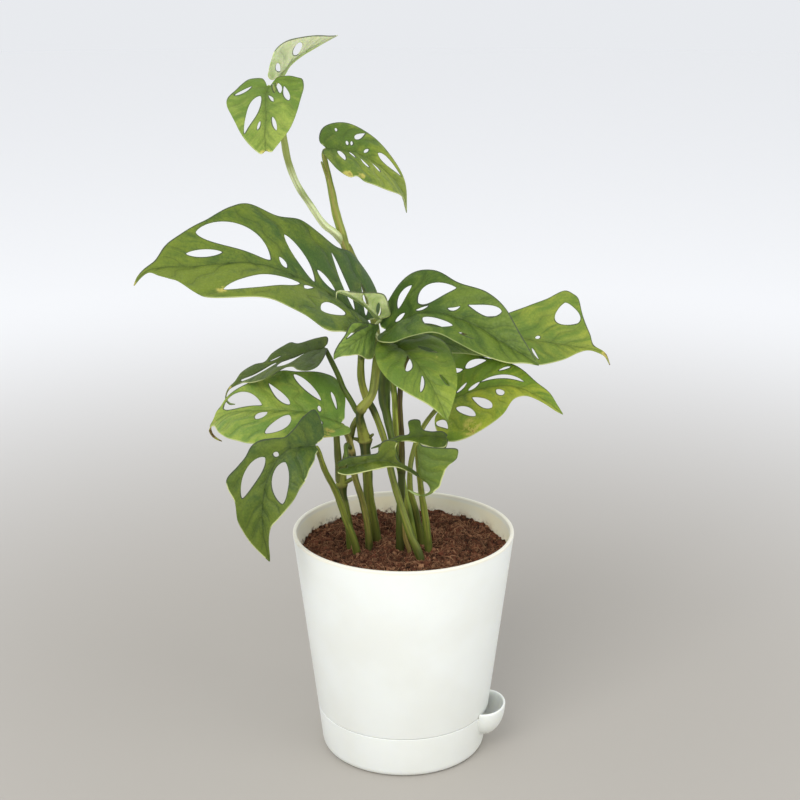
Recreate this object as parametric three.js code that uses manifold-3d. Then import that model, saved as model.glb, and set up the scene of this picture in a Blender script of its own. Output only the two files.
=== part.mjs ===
// Monstera adansonii: a young climbing plant of several rooted stems in a
// self-watering pot. Millimetres, +Z up, the origin at the centre of the underside.
import * as THREE from "three";
import { mergeVertices } from "three/addons/utils/BufferGeometryUtils.js";
import Module from "manifold-3d";

const wasm = await Module();
wasm.setup();

// ---------- driving dimensions ----------
const GAP = 0.3; // air left between neighbouring solids
const POT = { topR: 65, seamR: 51.6, height: 136.5, wall: 2.4, lip: 1.5, round: 0.7 };
const TRAY = { height: 26, baseR: 49.8, wall: 2, floor: 2.2, edge: 4, ring: 4, play: 0.2 };
const WELL = { r: 16, wall: 2, bottom: 5, floorZ: 31, floor: 2.2, slots: 6, slot: 4, slotH: 9 };
const SPOUT = { azimuth: -12, out: 12.5, half: 17, deep: 18.5, wall: 1.8, lipZ: 28 };
const SOIL = { edgeZ: 124, crownZ: 125, bankW: 8, rootZ: 98 };
const COVE = 3; // fillet between a wall and a floor
const LATHE_SIDES = 48;
const STEM = { step: 6.5, mostSteps: 30, sides: 8, stubSides: 6 };
// `notch` is half the gap between the lobes where the petiole joins, `tip` half the
// width left at the drip tip, and `even` how far the rib's direction is evened out both
// ways, so that a sharp bend doesn't crease the blade; the others space the mesh's points.
const BLADE = {
  thick: 0.7, notch: 0.9, tip: 0.45, even: 8, margin: 5.2, holePoints: 9, lattice: 9.5,
};

const COLORS = {
  pot: [0xf3f0e4, 0.38], tray: [0xf1eee2, 0.4], soil: [0x4a2c20, 1.0],
  vine: [0x7f8f3c, 0.45], olive: [0x5c6b2a, 0.5], pale: [0xb9c98a, 0.45],
  dark: [0x4a3a24, 0.6], dry: [0x8a6f45, 0.8],
  blade: [0x618c3a, 0.42], shade: [0x47692c, 0.45], lime: [0x8aa63c, 0.42],
  young: [0xb9c98a, 0.45],
};

// A blade is a flat leaf outline bent in space. `rib` is the midrib from the petiole
// to the tip. `side` points to the blade's own left, seen from above the leaf.
// Outlines run from the petiole's notch to the tip as [along the rib, away from it];
// negative values along the rib are the lobes behind the petiole. The two halves
// rise from the rib by `fold` degrees and level out by `curl` degrees per mm.
// Holes are [along, away, length, width, degrees, taper, bow].
const BLADES = {
  blade_01: {
    look: "young", rib: [[-70, 32, 394], [-63, 35, 402], [-55, 38, 408], [-47, 41, 412], [-37, 46, 416]],
    side: [-0.08, -0.86, 0.51], fold: [3, 8], curl: 0.3, twist: 5,
    left: [[-4, 5], [-5, 12], [-2, 17], [2, 22], [6, 26], [12, 25], [20, 19], [28, 12], [36, 5]],
    right: [[-2, 3], [3, 4], [9, 2.4], [17, 2.4], [25, 2.6], [34, 1.5]],
    holes: [[17, 9, 13, 6, 81, 0, 0], [3, 9, 10, 3.2, 88, 0.3, 0.3]],
  },
  blade_02: {
    look: "blade", rib: [[-74, 14, 391], [-75, 4, 385], [-74, -7, 377], [-74, -17, 369], [-73, -26, 361]],
    side: [1, -0.03, 0.06], fold: [10, 10], curl: 0.4, twist: 0,
    left: [[-5, 2.7], [-7, 4], [-7.5, 10.5], [-5, 16], [-3.5, 18.5], [4, 20.5], [13, 20], [26, 17],
      [38, 13.5], [44.5, 9.5], [50, 5], [52, 3]],
    right: [[-4, 2.7], [-6, 4.5], [-4, 11], [1, 14.5], [6, 17], [13, 21], [23.5, 19], [35, 14.5],
      [43.5, 10], [50.5, 5], [52.5, 2.4]],
    holes: [[6, -13, 11, 2.2, -46, 0.2, 0.8], [24, -7, 30, 5.5, -15, -0.5, -0.8],
      [12, 3, 7, 1.6, 26, 0.4, 0.3], [3, 6, 12, 2.6, 20, -0.1, 0.7], [9, 11, 15.5, 3, 15, 0.4, 0.3],
      [32, 5, 11, 2, 15, 0, 0], [3, 3.5, 9.5, 1.2, 17, 0, 0], [32.5, -3.5, 6.5, 1.3, -8, 0, 0]],
  },
  blade_03: {
    look: "blade", rib: [[-44, 30, 355], [-28, 35, 352], [-13, 39, 343], [-2, 42, 330], [2, 43, 316]],
    side: [-0.04, 0.89, 0.46], fold: [12, 12], curl: 0.4, twist: 0,
    left: [[-3, 4], [-2, 12], [3, 19], [13, 23], [24, 21], [36, 17], [48, 13], [58, 7]],
    right: [[-3, 5], [-1, 14], [3, 24], [9, 29], [15, 27], [22, 30], [34, 27], [46, 20], [57, 9]],
    holes: [[20, 15, 10, 2.6, 60, -0.7, 0.2], [8, 16, 3, 1.4, 85, 0.2, 0], [40, 9, 18, 6.4, 3, -0.6, -0.4],
      [8, -7, 12, 3.6, -83, -0.1, 0], [15, -4, 7, 2, -63, 0, 0], [23, -8, 9, 2.6, -49, 0.6, -0.5],
      [31, -6, 8, 2.6, -42, 0.4, 0.6], [24, 5, 5, 1.7, 64, 0, 0], [13, 6, 3.6, 1.6, 88, 0, 0],
      [15.5, 6.5, 3.6, 1.3, 84, 0, 0]],
  },
  blade_04: {
    look: "blade",
    rib: [[-20, -5, 263], [-48, -23, 287], [-79, -40, 303], [-110, -57, 305], [-130, -69, 306],
      [-135, -72, 303], [-138, -74, 299]],
    side: [0.19, -0.83, -0.53], fold: [18, 18], curl: 0.4, twist: 0,
    left: [[-1, 3], [-2, 7], [2, 13], [10, 21], [20, 30], [33, 37], [46, 43], [60, 38], [76, 34],
      [90, 32.5], [107, 31], [116, 29.5], [120, 28], [124, 23], [127.5, 17], [130, 13.5], [133, 12],
      [138, 8], [139.5, 4], [141, 1.8], [148, 1.4]],
    right: [[-6, 6], [-9, 17], [-3, 30], [5, 39], [14, 43], [27, 38], [38, 41], [50, 43], [65, 38],
      [78, 41], [86, 37], [93, 32.5], [99.5, 28.5], [106.5, 25.5], [115, 21.5], [124, 16], [128.5, 12],
      [132.5, 7], [135, 4.5], [139, 2.6], [148, 1]],
    holes: [[89, -13, 40, 16.7, -23, 0.1, -4.6], [107, -7.5, 20, 4.7, -2, 0, -0.1],
      [81, 15.5, 56, 10.6, 18, -0.1, 1.1], [63, -6, 7, 3.5, -49, -0.2, 0],
      [52, -14, 30, 8, -49, 0.1, -0.2], [48, 7, 11, 3, 40, 0.3, -0.8], [34, -8, 15, 4.4, -26, 0.1, 0.3],
      [21, -16, 35, 5, -56, -0.2, 1], [35, 20, 26, 10, 34, 0, -1.1], [5, -13, 21, 4, -74, -0.1, -1.3]],
  },
  blade_05: {
    look: "blade", rib: [[-10, -10, 259], [11, -25, 273], [33, -40, 272], [52, -54, 264], [71, -64, 254]],
    side: [0.36, 0.69, 0.63], fold: [24, 26], curl: 0.5, twist: 4,
    left: [[-3, 3], [-4, 9], [1, 16], [9, 23], [20, 27], [31, 25], [44, 19], [60, 19], [73, 16], [87, 9],
      [97, 4]],
    right: [[-3, 3], [-1, 9], [5, 17], [14, 25], [25, 29], [36, 24], [48, 18], [64, 18], [80, 17],
      [92, 12], [99, 5]],
    holes: [[16, 14, 14, 6, 44, 0, 1.8], [35, 11, 21, 10, 26, -0.5, 1.5], [28, 3, 8, 1.4, 8, 0, -0.6],
      [47, 5, 7, 1.8, 25, -0.1, -1], [63, 11, 18, 5.7, 15, 0.6, -1.4], [12, 3, 8, 3, 10, 0, 0],
      [43, -7, 21, 8, -5, 0, -2.4], [65, -10, 10, 1.6, 8, -0.1, 0.1]],
  },
  blade_06: {
    look: "young",
    rib: [[-12, -8, 265], [-16, -10, 269], [-22, -12, 275], [-30.5, -19, 282], [-34, -21, 283.5],
      [-36.5, -23, 283.5], [-37, -24, 280.5]],
    side: [0.12, -0.57, 0.82], fold: [12, 12], curl: 0.3, twist: 0,
    left: [[-1, 5], [5.5, 10], [11.5, 12.5], [16, 9.5], [20.5, 5.5], [25.5, 2.7], [29, 1.5], [34, 1]],
    right: [[-2, 2.6], [1.8, 4], [8, 2.7], [12.5, 2.3], [20, 2.5], [26, 2.1], [31, 1.6]],
    holes: [[16, 2.4, 7.5, 2.2, 24, 0.1, 0], [6.5, 3.5, 9, 2.6, 43, 0, -0.2]],
  },
  blade_07: {
    look: "blade", rib: [[-6, -21, 255], [4, -37, 251], [12, -51, 244], [18, -61, 235], [23, -69, 225]],
    side: [0.85, 0.5, 0.13], fold: [12, 12], curl: 0.5, twist: 6,
    left: [[-5, 3], [-4, 10], [3, 17], [13, 21], [24, 21], [36, 18], [48, 13], [58, 6]],
    right: [[-3, 3], [-4, 7], [1, 12], [11, 18], [23, 22], [35, 21], [46, 15], [56, 6]],
    holes: [[24, -5, 16, 3.8, -29, 0.7, 0.7], [41, -5, 12, 2, -31, 0.1, 0.5], [43, 8, 8, 1.6, 11, 0.3, 0],
      [19, 11, 12, 2.6, 26, -0.4, -0.4]],
  },
  blade_08: {
    look: "blade",
    rib: [[-14, -20, 264], [-21, -36, 263], [-26, -46, 262], [-31, -52, 259], [-37, -56, 255]],
    side: [0.15, -0.05, -0.98], fold: [-9, 12], curl: 0.4, twist: 0,
    left: [[1, 1.6], [4, 4], [4, 8], [3, 13], [6, 16.5], [14, 15], [22, 11], [35.5, 5], [42.5, 0.8]],
    right: [[-0.7, 0.9], [5, 2.6], [12.5, 5.5], [22.5, 9], [29, 11.5], [31, 11], [34.5, 8], [40, 5.5],
      [44, 2.8]],
    holes: [[24, -5, 20.5, 1.8, -3, 0.3, -1]],
  },
  blade_09: {
    look: "lime",
    rib: [[39, 35, 246], [61, 30, 245], [82, 26, 243], [103, 20.5, 241], [112, 19, 240],
      [117, 17.5, 237.5], [120, 17, 231.5]],
    side: [0.1, 0.82, 0.57], fold: [13, 13], curl: 0.4, twist: 4,
    left: [[-4, 3], [-4, 9], [6, 12], [16, 14], [27, 20], [34, 25], [41, 30], [49.5, 38], [54, 36.5],
      [57.5, 34], [63, 22.5], [69.5, 9.5], [73, 2.4], [80, 1]],
    right: [[-4, 3], [-4, 9], [7, 16], [24, 20], [40, 20], [46, 19.5], [57, 13.5], [65, 5], [70, 1.8],
      [78, 2.2], [84.5, 1.6]],
    holes: [[56, 22, 17, 14, 128, -0.2, 3.4], [40, 2.3, 2.9, 2, 25, 0.1, 0],
      [41, -11.5, 10, 1.4, 124, 0.3, 0.4]],
  },
  blade_10: {
    look: "lime", rib: [[25, 10, 211], [42, 8, 219], [61, 6, 222], [78, 4, 216], [92, 3, 206]],
    side: [0.04, 0.8, 0.6], fold: [12, 12], curl: 0.4, twist: -12,
    left: [[-6, 4], [-7, 12], [-2, 24], [9, 32], [18, 28], [28, 20], [42, 14], [52, 9], [62, 7], [69, 3]],
    right: [[-8, 8], [-9, 19], [-4, 30], [6, 34], [17, 34], [28, 30], [37, 24], [43, 11], [50, 5], [60, 4],
      [69, 3]],
    holes: [[11, 5, 8, 1.8, 27, 0, -0.4], [18, 3, 8, 2.2, 24, -0.1, -0.3], [34, 5, 23, 2.6, 2, 0.3, 1.4],
      [35, 12, 6, 1.5, 29, 0.2, 0], [21, 18, 11, 5.4, 11, -0.3, 1.2], [12, 18, 5, 3, 141, -0.1, 1],
      [33, -6, 7, 4.6, -56, 0.2, 0.2], [22, -12, 17, 6, -47, 0.4, 0], [11, -15, 17, 5.4, -50, 0, 0.2],
      [-5, -17, 11, 4.4, -57, -0.5, 1]],
  },
  blade_11: {
    look: "shade", rib: [[-2, 12, 246], [11, 10, 248], [23, 8, 247], [36, 6, 244], [48, 4, 240]],
    side: [0.1, 0.85, 0.5], fold: [14, 14], curl: 0.4, twist: 0,
    left: [[-3, 3], [-2, 7], [6, 11], [16, 12], [28, 9], [40, 5]],
    right: [[-3, 3], [-2, 7], [6, 11], [17, 12], [29, 9], [40, 5]],
    holes: [[18, -6, 9, 2, -35, 0, 0]],
  },
  blade_12: {
    look: "shade",
    rib: [[-31, -42, 190], [-21, -44, 193], [-10, -44, 194], [0, -40, 189], [6, -36, 184],
      [12, -32, 178.5]],
    side: [0, 0.25, 0.97], fold: [10, 40], curl: 0.4, twist: 0,
    left: [[-2.5, 0.6], [-5, 0.8], [-5, 3], [-2.5, 4.2], [2.2, 5], [6, 4.5], [14, 4], [17.5, 4.5],
      [18, 8], [20, 11], [23, 12], [25.5, 11.5], [25.5, 8], [27, 4], [31, 1.6], [40, 1.2], [48, 0.8]],
    right: [[-2.5, 0.6], [-5.3, 0.8], [-5.7, 3], [-4, 4.4], [-0.5, 6], [3.1, 6.5], [7.5, 6.5],
      [13.5, 6], [18.5, 5.5], [24, 4], [30, 2.5], [39, 2], [47, 1.2]],
    holes: [],
  },
  blade_13: {
    look: "blade",
    rib: [[8, -40, 203], [9, -41, 193.5], [10.5, -42, 185], [14.5, -43, 179], [15, -43.5, 176],
      [12, -44, 174], [7, -43.5, 174], [2.5, -43, 176.5]],
    side: [0.98, -0.1, 0.1], fold: [6, -55], curl: 0.5, twist: 0,
    left: [[1.5, 2], [2.8, 6.5], [4, 14.5], [5.5, 21.5], [10, 21], [16, 19], [18.5, 15], [21.5, 11],
      [24, 7.5], [26, 5.5], [29, 1.6], [40, 0.8]],
    right: [[1.5, 1.6], [9, 2.2], [14, 3.5], [19, 5], [22.5, 4.5], [24.5, 1.8], [30, 0.8], [40, 0.7]],
    holes: [],
  },
  blade_14: {
    look: "shade", rib: [[24, -26, 201], [13, -28, 203], [2, -31, 203], [-8, -33, 201], [-18, -35, 198]],
    side: [0, -0.5, -0.87], fold: [20, 8], curl: 0.4, twist: 0,
    left: [[-0.5, 2], [0.6, 5.5], [4, 7], [8.5, 7.5], [15.5, 5.5], [22, 2.7], [27, 1.6], [36, 1.2]],
    right: [[-0.5, 1.5], [2.4, 3.5], [9.5, 2.7], [14, 4], [15, 9], [20.5, 9], [21.5, 2], [27, 2], [36, 1]],
    holes: [],
  },
  blade_15: {
    look: "shade",
    rib: [[-45, 5, 245], [-62, 5, 240], [-79, 6, 233], [-94, 9, 223.5], [-101, 9.5, 219], [-103, 10, 214],
      [-101, 11, 210], [-98, 12, 209]],
    side: [0.11, -0.95, -0.28], fold: [15, 10], curl: 0.4, twist: 4,
    left: [[-1, 2], [-1, 10.5], [1.5, 20.5], [5, 26], [9.5, 27], [15, 22.5], [18.5, 16], [22, 14.5],
      [26, 17], [30, 20], [35, 19.5], [43.5, 13.5], [53, 4], [60, 1.2], [72, 1.2]],
    right: [[-2, 3], [-2.3, 9], [4, 10.5], [15, 10.5], [19.5, 14], [24, 13], [32, 10], [36.5, 5.5],
      [44, 8], [53.5, 8], [58, 3], [63.5, 1.2], [72, 1]],
    holes: [[20, 3.5, 18, 7.9, 27, 0.6, 0.7], [41.5, -0.9, 25, 6.4, -3, -0.2, 4],
      [29.5, -4.5, 8, 1.1, 5, 0.1, 0.5]],
  },
  blade_16: {
    look: "lime",
    rib: [[-35, -20, 208], [-57, -19, 214], [-79, -16, 214], [-99, -12, 211], [-108.5, -10, 204],
      [-110, -9.5, 201.5], [-109, -8.5, 197.5], [-107, -8, 195], [-104, -8, 193]],
    side: [-0.14, -0.91, -0.4], fold: [16, 14], curl: 0.4, twist: -10,
    left: [[-5, 3], [-6, 9], [1, 16], [8, 21], [15, 27], [30, 31], [45.5, 31], [54, 27.5], [63, 23.5],
      [69, 18], [72.5, 11.5], [75, 6], [78, 3], [83, 2], [89, 1]],
    right: [[-1, 3], [0, 9], [2, 19], [6, 26], [10.5, 30.5], [17, 31], [30, 28.5], [38.5, 29], [47, 24.5],
      [60, 17], [66, 12], [70, 7.5], [73, 6], [77, 2.4], [82, 1.6], [89, 0.8]],
    holes: [[57.5, -4.5, 22, 10.5, -3, 0.4, -3.5], [37.5, -11.5, 20, 4, 134, 0.5, -0.6],
      [23, -18.5, 23, 4.8, -42, 0.1, 0.3], [7.5, -13.5, 12, 1.9, 118, -0.3, 0.1],
      [45, 5, 9, 5.6, 60, 0, -0.5], [34, 14, 21, 9.4, 64, 0, 1.6], [12, 7.5, 7, 3.7, -87, 0.3, 0],
      [14, -5, 4, 2, -69, 0, 0]],
  },
  blade_17: {
    look: "blade",
    rib: [[-48, -46, 203], [-64, -52, 202], [-74, -56, 187], [-77, -59, 164], [-74, -58, 140]],
    side: [0.6, -0.25, -0.75], fold: [14, 14], curl: 0.4, twist: 0,
    left: [[-1, 2], [1.5, 5.5], [3, 9], [7, 14], [10.5, 18], [18, 19.5], [28, 19.5], [34, 19], [40, 18.5],
      [45.5, 17], [52, 13.5], [57, 10], [62, 6], [73, 2.6], [80, 1.4]],
    right: [[-5, 4], [-5, 13], [-2, 20], [5, 17], [11, 10], [15, 7.5], [19, 10.5], [22, 14], [25, 16],
      [30, 16], [35, 18], [41, 21.5], [44.5, 20], [50, 15.5], [60, 14], [66, 12], [72, 9.5], [78, 5]],
    holes: [[37, -9, 22, 7.7, -13, -0.3, -0.3], [34.5, 8, 26.5, 10, 16, -0.1, -0.5],
      [22, -2.5, 3.2, 2.4, -76, 0, 0]],
  },
};

// A stem is a route of [x, y, z, radius]. `of` names the stems that it grows beside,
// `bears` the blade at its end and `stubs` the dried stumps on it.
const FOOT = SOIL.rootZ;
const STEMS = {
  vine_main: {
    look: "vine", route: [[-16, 8, FOOT, 3.3], [-16, 8, 124, 3.3], [-20, 4, 153, 3], [-21, 0, 173, 2.9],
      [-22, -3, 187, 3], [-22, -3, 192, 4], [-23, -4, 196, 3.4], [-25, -8, 208, 2.3], [-24, -10, 213, 2.9],
      [-18, -10, 221, 2.4], [-16, -5, 232, 2.6], [-15, 2, 242, 2.5], [-16, 14, 253, 2.4],
      [-22, 24, 277, 2.3], [-30, 28, 294, 2.3], [-34, 28, 301, 3.1]],
    stubs: [[[-24, -3, 192], [-29, -5, 194], 1.3], [[-21, -4, 193], [-17, -6, 197], 1.1]],
  },
  vine_top: {
    look: "pale", of: ["vine_main"], route: [[-34, 28, 301, 2.4], [-39, 26, 307, 2.3], [-45, 25, 312, 2.1],
      [-53, 24, 324, 1.9], [-60, 24, 335, 1.9], [-65, 24, 349, 2], [-67, 24, 360, 2], [-69, 23, 374, 1.9],
      [-71, 22, 386, 1.8]],
    stubs: [],
  },
  vine_side: {
    look: "olive", route: [[-31, 2, FOOT, 2.6], [-31, 2, 124, 2.6], [-33, 1, 145, 2.2], [-35, 1, 157, 2.1],
      [-36, 1, 164, 3.3], [-35.5, 1.3, 170, 2.4], [-34, 1, 178, 1.9], [-31, -1, 190, 1.8],
      [-28.8, -3.6, 201, 1.4]],
    stubs: [[[-34, 0, 165], [-28, -4, 170], 1.4], [[-37.3, 1, 164], [-39.3, 3, 207], 2.3]],
  },
  petiole_09: {
    look: "dark", bears: "blade_09", route: [[-2, -4, FOOT, 2.6], [-2, -4, 124, 2.6], [-2, -4, 143, 2.4],
      [-1, -3, 174, 2.1], [-1, -2, 192, 1.6], [-2, 0, 215, 1.5], [-1, 4, 229, 1.5], [3, 12, 238, 1.4],
      [16, 26, 242, 1.4], [30, 34, 244, 1.3], [39, 35, 246, 1.2]],
    stubs: [],
  },
  petiole_04: {
    look: "olive", bears: "blade_04", route: [[10, -20, FOOT, 2.5], [10, -20, 124, 2.5], [4, -18, 140, 2.3],
      [-2, -15, 158, 2.1], [-7, -12, 176, 2], [-11, -7, 194, 1.9], [-17, -1, 209, 2], [-21, 1, 216, 2.2],
      [-24, 1, 227, 2.2], [-24, 0, 242, 2], [-22, -2, 254, 1.9], [-21, -4, 260, 1.7], [-20, -5, 263, 1.5]],
    stubs: [],
  },
  petiole_05: {
    look: "vine", bears: "blade_05", route: [[6, 8, FOOT, 2.5], [6, 8, 124, 2.5], [3, 7, 145, 2.3],
      [-1, 8, 165, 2.1], [-4, 8, 189, 2], [-5, 3, 214, 1.8], [-7, -3, 234, 1.8], [-9, -7, 250, 1.7],
      [-10, -9, 256, 1.5], [-10, -10, 259, 1.3]],
    stubs: [],
  },
  petiole_10: {
    look: "olive", bears: "blade_10", route: [[11, 2, FOOT, 2.3], [11, 2, 124, 2.3], [7, -3, 149, 2],
      [4, -9, 164, 1.7], [4, -9, 179, 1.5], [7, -4, 190, 1.5], [12, 4, 199, 1.4], [19, 8, 207, 1.4],
      [25, 10, 211, 1.2]],
    stubs: [],
  },
  petiole_13: {
    look: "vine", bears: "blade_13", route: [[15, -10, FOOT, 2.4], [15, -10, 124, 2.4], [12, -14, 153, 2],
      [10, -20, 168, 1.8], [8, -32, 190, 1.5], [7, -37, 199, 1.3], [8, -40, 203, 1.1]],
    stubs: [],
  },
  petiole_16: {
    look: "vine", bears: "blade_16", route: [[-20, -4, FOOT, 2.3], [-20, -4, 124, 2.3], [-21, -6, 141, 2],
      [-24, -9, 158, 1.9], [-28, -13, 174, 1.9], [-29, -16, 188, 2], [-31, -18, 198, 1.7],
      [-34, -20, 205, 1.5], [-35, -20, 208, 1.3]],
    stubs: [],
  },
  petiole_17: {
    look: "olive", bears: "blade_17", route: [[-27, -9, FOOT, 2.4], [-27, -9, 124, 2.4], [-34, -14, 150, 2],
      [-39, -22, 169, 1.9], [-44, -34, 185, 1.7], [-47, -44, 200, 1.5], [-48, -46, 203, 1.2]],
    stubs: [],
  },
  petiole_03: {
    look: "vine", of: ["vine_main", "vine_top"], bears: "blade_03",
    route: [[-34, 28, 301, 2.8], [-36, 29, 309, 2.6], [-39, 29, 320, 2.4], [-41, 29, 331, 2.1],
      [-44, 30, 346, 1.6], [-45, 30, 352, 1.4], [-44, 30, 355, 1.2]],
    stubs: [[[-43, 28.5, 337], [-46.5, 27.5, 348], 0.8]],
  },
  petiole_02: {
    look: "vine", of: ["vine_top"], bears: "blade_02", route: [[-71, 22, 384, 1.3], [-73, 19, 387, 1.3],
      [-74, 16, 390, 1.2], [-74, 14, 391, 1]],
    stubs: [],
  },
  petiole_01: {
    look: "pale", of: ["vine_top", "petiole_02"], bears: "blade_01",
    route: [[-71, 22, 386, 1.4], [-72, 26, 389, 1.3], [-71, 30, 392, 1.2], [-70, 32, 394, 1]],
    stubs: [],
  },
  petiole_15: {
    look: "olive", of: ["vine_main"], bears: "blade_15", route: [[-24, -9, 210, 1.7], [-26, -9, 211, 1.7],
      [-29.5, -8.5, 217, 1.6], [-34, -6, 224, 1.6], [-38, 0, 232, 1.6], [-44, 5, 243, 1.4],
      [-45, 5, 245, 1.2]],
    stubs: [],
  },
  petiole_08: {
    look: "olive", of: ["petiole_04"], bears: "blade_08", route: [[-24, 0, 240, 1.4], [-23, -8, 247, 1.3],
      [-18, -17, 256, 1.2], [-14, -20, 264, 0.9]],
    stubs: [],
  },
  petiole_06: {
    look: "pale", of: ["petiole_05"], bears: "blade_06", route: [[-8, -5, 243, 1.3], [-11, -7, 250, 1.2],
      [-16, -6, 257, 1.1], [-15, -7, 262, 1], [-12, -8, 265, 0.9]],
    stubs: [],
  },
  petiole_07: {
    look: "vine", of: ["petiole_05"], bears: "blade_07", route: [[-6, -1, 229, 1.5], [-6, -8, 236, 1.4],
      [-7, -16, 246, 1.3], [-7, -20, 252, 1.2], [-6, -21, 255, 1]],
    stubs: [],
  },
  petiole_11: {
    look: "shade", of: ["petiole_09"], bears: "blade_11", route: [[-1, -3, 172, 1.6], [-3, -4, 177, 1.7],
      [-7, -4, 194, 1.9], [-10, 5, 207, 2.6], [-11, 9, 214, 3.6], [-11, 11, 224, 4.1], [-10, 13, 234, 3],
      [-6, 13, 243, 1.7], [-2, 12, 246, 1.3]],
    stubs: [],
  },
  petiole_14: {
    look: "olive", of: ["petiole_13"], bears: "blade_14", route: [[9, -23, 173, 1.5], [12, -22, 178, 1.5],
      [18, -22, 187, 1.4], [23, -24, 196, 1.3], [24, -26, 201, 1.1]],
    stubs: [],
  },
  petiole_12: {
    look: "vine", of: ["petiole_16"], bears: "blade_12", route: [[-30, -17, 192, 1.4], [-32, -26, 197, 1.3],
      [-32, -36, 196, 1.2], [-31, -41.3, 190.3, 1]],
    stubs: [],
  },
  dry_stub: {
    look: "dry", route: [[4, -9, FOOT, 1.4], [4, -9, 124, 1.4], [1, -9, 134, 1.2], [0, -10, 145, 0.8]],
    stubs: [],
  },
};

// ---------- helpers ----------
const vector = ([x, y, z]) => new THREE.Vector3(x, y, z);
const radians = THREE.MathUtils.degToRad;

function solidOf(geometry) {
  const bare = geometry.clone();
  bare.deleteAttribute("normal");
  bare.deleteAttribute("uv");
  const merged = mergeVertices(bare, 1e-4);
  return new wasm.Manifold(new wasm.Mesh({
    numProp: 3,
    vertProperties: new Float32Array(merged.attributes.position.array),
    triVerts: new Uint32Array(merged.index.array),
  }));
}

function geometryOf(manifold) {
  const { vertProperties, triVerts } = manifold.getMesh();
  const geometry = new THREE.BufferGeometry();
  geometry.setAttribute("position", new THREE.BufferAttribute(new Float32Array(vertProperties), 3));
  geometry.setIndex(new THREE.BufferAttribute(new Uint32Array(triVerts), 1));
  return geometry;
}

// Cutting can leave crumbs; a sub-part is the largest piece.
const largest = (manifold) =>
  manifold.decompose().reduce((a, b) => (a.volume() > b.volume() ? a : b));

function lathe(profile) {
  const points = profile.map(([r, z]) => new THREE.Vector2(r, z));
  return solidOf(new THREE.LatheGeometry(points, LATHE_SIDES).rotateX(Math.PI / 2));
}

// ---------- stems ----------
// A cylinder bent along a smooth route, with its own radius at each station.
function bentTube(route, grow = 0, sides = STEM.sides) {
  const curve = new THREE.CatmullRomCurve3(route.map(vector));
  const steps = THREE.MathUtils.clamp(Math.round(curve.getLength() / STEM.step), 3, STEM.mostSteps);
  const frames = curve.computeFrenetFrames(steps);
  const fine = 40; // samples from one station to the next
  const lengths = curve.getLengths((route.length - 1) * fine).filter((_, i) => i % fine === 0);
  const radiusAt = (s) => {
    let i = 1;
    while (i < lengths.length - 1 && lengths[i] < s) i += 1;
    const t = (s - lengths[i - 1]) / (lengths[i] - lengths[i - 1]);
    return THREE.MathUtils.lerp(route[i - 1][3], route[i][3], THREE.MathUtils.clamp(t, 0, 1));
  };
  const tube = new THREE.CylinderGeometry(1, 1, steps, sides, steps);
  const position = tube.attributes.position;
  for (let i = 0; i < position.count; i += 1) {
    const step = Math.round(position.getY(i) + steps / 2);
    const r = radiusAt((lengths.at(-1) * step) / steps) + grow;
    const at = curve.getPointAt(step / steps);
    if (step === 0) at.addScaledVector(frames.tangents[step], -grow);
    if (step === steps) at.addScaledVector(frames.tangents[step], grow);
    at.addScaledVector(frames.normals[step], position.getX(i) * r);
    at.addScaledVector(frames.binormals[step], -position.getZ(i) * r);
    position.setXYZ(i, at.x, at.y, at.z);
  }
  return solidOf(tube);
}

function stemSolid({ route, stubs }, grow = 0) {
  const parts = stubs.map(([from, to, r]) => {
    const mid = from.map((value, k) => (value + to[k]) / 2);
    return bentTube([[...from, r], [...mid, r * 0.9], [...to, r * 0.6]], grow, STEM.stubSides);
  });
  return parts.reduce((whole, stub) => whole.add(stub), bentTube(route, grow));
}

// ---------- blades ----------
// The bent surface: a point of the flat outline, lifted off it along the normal.
function bladeSurface({ rib, side, fold, curl, twist }) {
  const curve = new THREE.CatmullRomCurve3(rib.map(vector));
  const length = curve.getLength();
  const across = vector(side);
  const [foldLeft, foldRight] = fold.map(radians);
  const rate = radians(curl);
  // A point of the rib, which runs on straight past both its ends.
  const ribAt = (u) => {
    const on = THREE.MathUtils.clamp(u, 0, length);
    return curve.getPointAt(on / length).addScaledVector(curve.getTangentAt(on / length), u - on);
  };
  const place = (u, v, lift) => {
    const at = ribAt(u);
    const along = ribAt(u + BLADE.even).sub(ribAt(u - BLADE.even)).normalize();
    const left = across.clone().addScaledVector(along, -along.dot(across)).normalize();
    left.applyAxisAngle(along, radians(twist) * Math.max(u / length, -0.3));
    const up = along.clone().cross(left);
    const sign = Math.sign(v);
    const start = v < 0 ? foldRight : foldLeft;
    const slope = start - rate * Math.abs(v);
    const out = (Math.sin(start) - Math.sin(slope)) / rate;
    const rise = (Math.cos(slope) - Math.cos(start)) / rate;
    const normal = sign === 0
      ? up.clone().multiplyScalar(Math.cos(foldLeft) + Math.cos(foldRight))
        .addScaledVector(left, Math.sin(foldRight) - Math.sin(foldLeft)).normalize()
      : up.clone().multiplyScalar(Math.cos(slope)).addScaledVector(left, -sign * Math.sin(slope));
    return at.addScaledVector(left, sign * out).addScaledVector(up, rise).addScaledVector(normal, lift);
  };
  return { place, length };
}

function smoothSide(points, spacing) {
  const curve = new THREE.CatmullRomCurve3(points.map(([u, v]) => new THREE.Vector3(u, v, 0)));
  const count = Math.max(4, Math.round(curve.getLength() / spacing));
  return curve.getSpacedPoints(count).map((p) => new THREE.Vector2(p.x, p.y));
}

function outline({ left, right }, length) {
  const { notch, tip, margin } = BLADE;
  const mirrored = right.map(([u, v]) => [u, -v]);
  const leftSide = smoothSide([[0, notch], ...left, [length, tip]], margin);
  const rightSide = smoothSide([[0, -notch], ...mirrored, [length, -tip]], margin);
  return [...rightSide, ...leftSide.reverse()];
}

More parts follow.
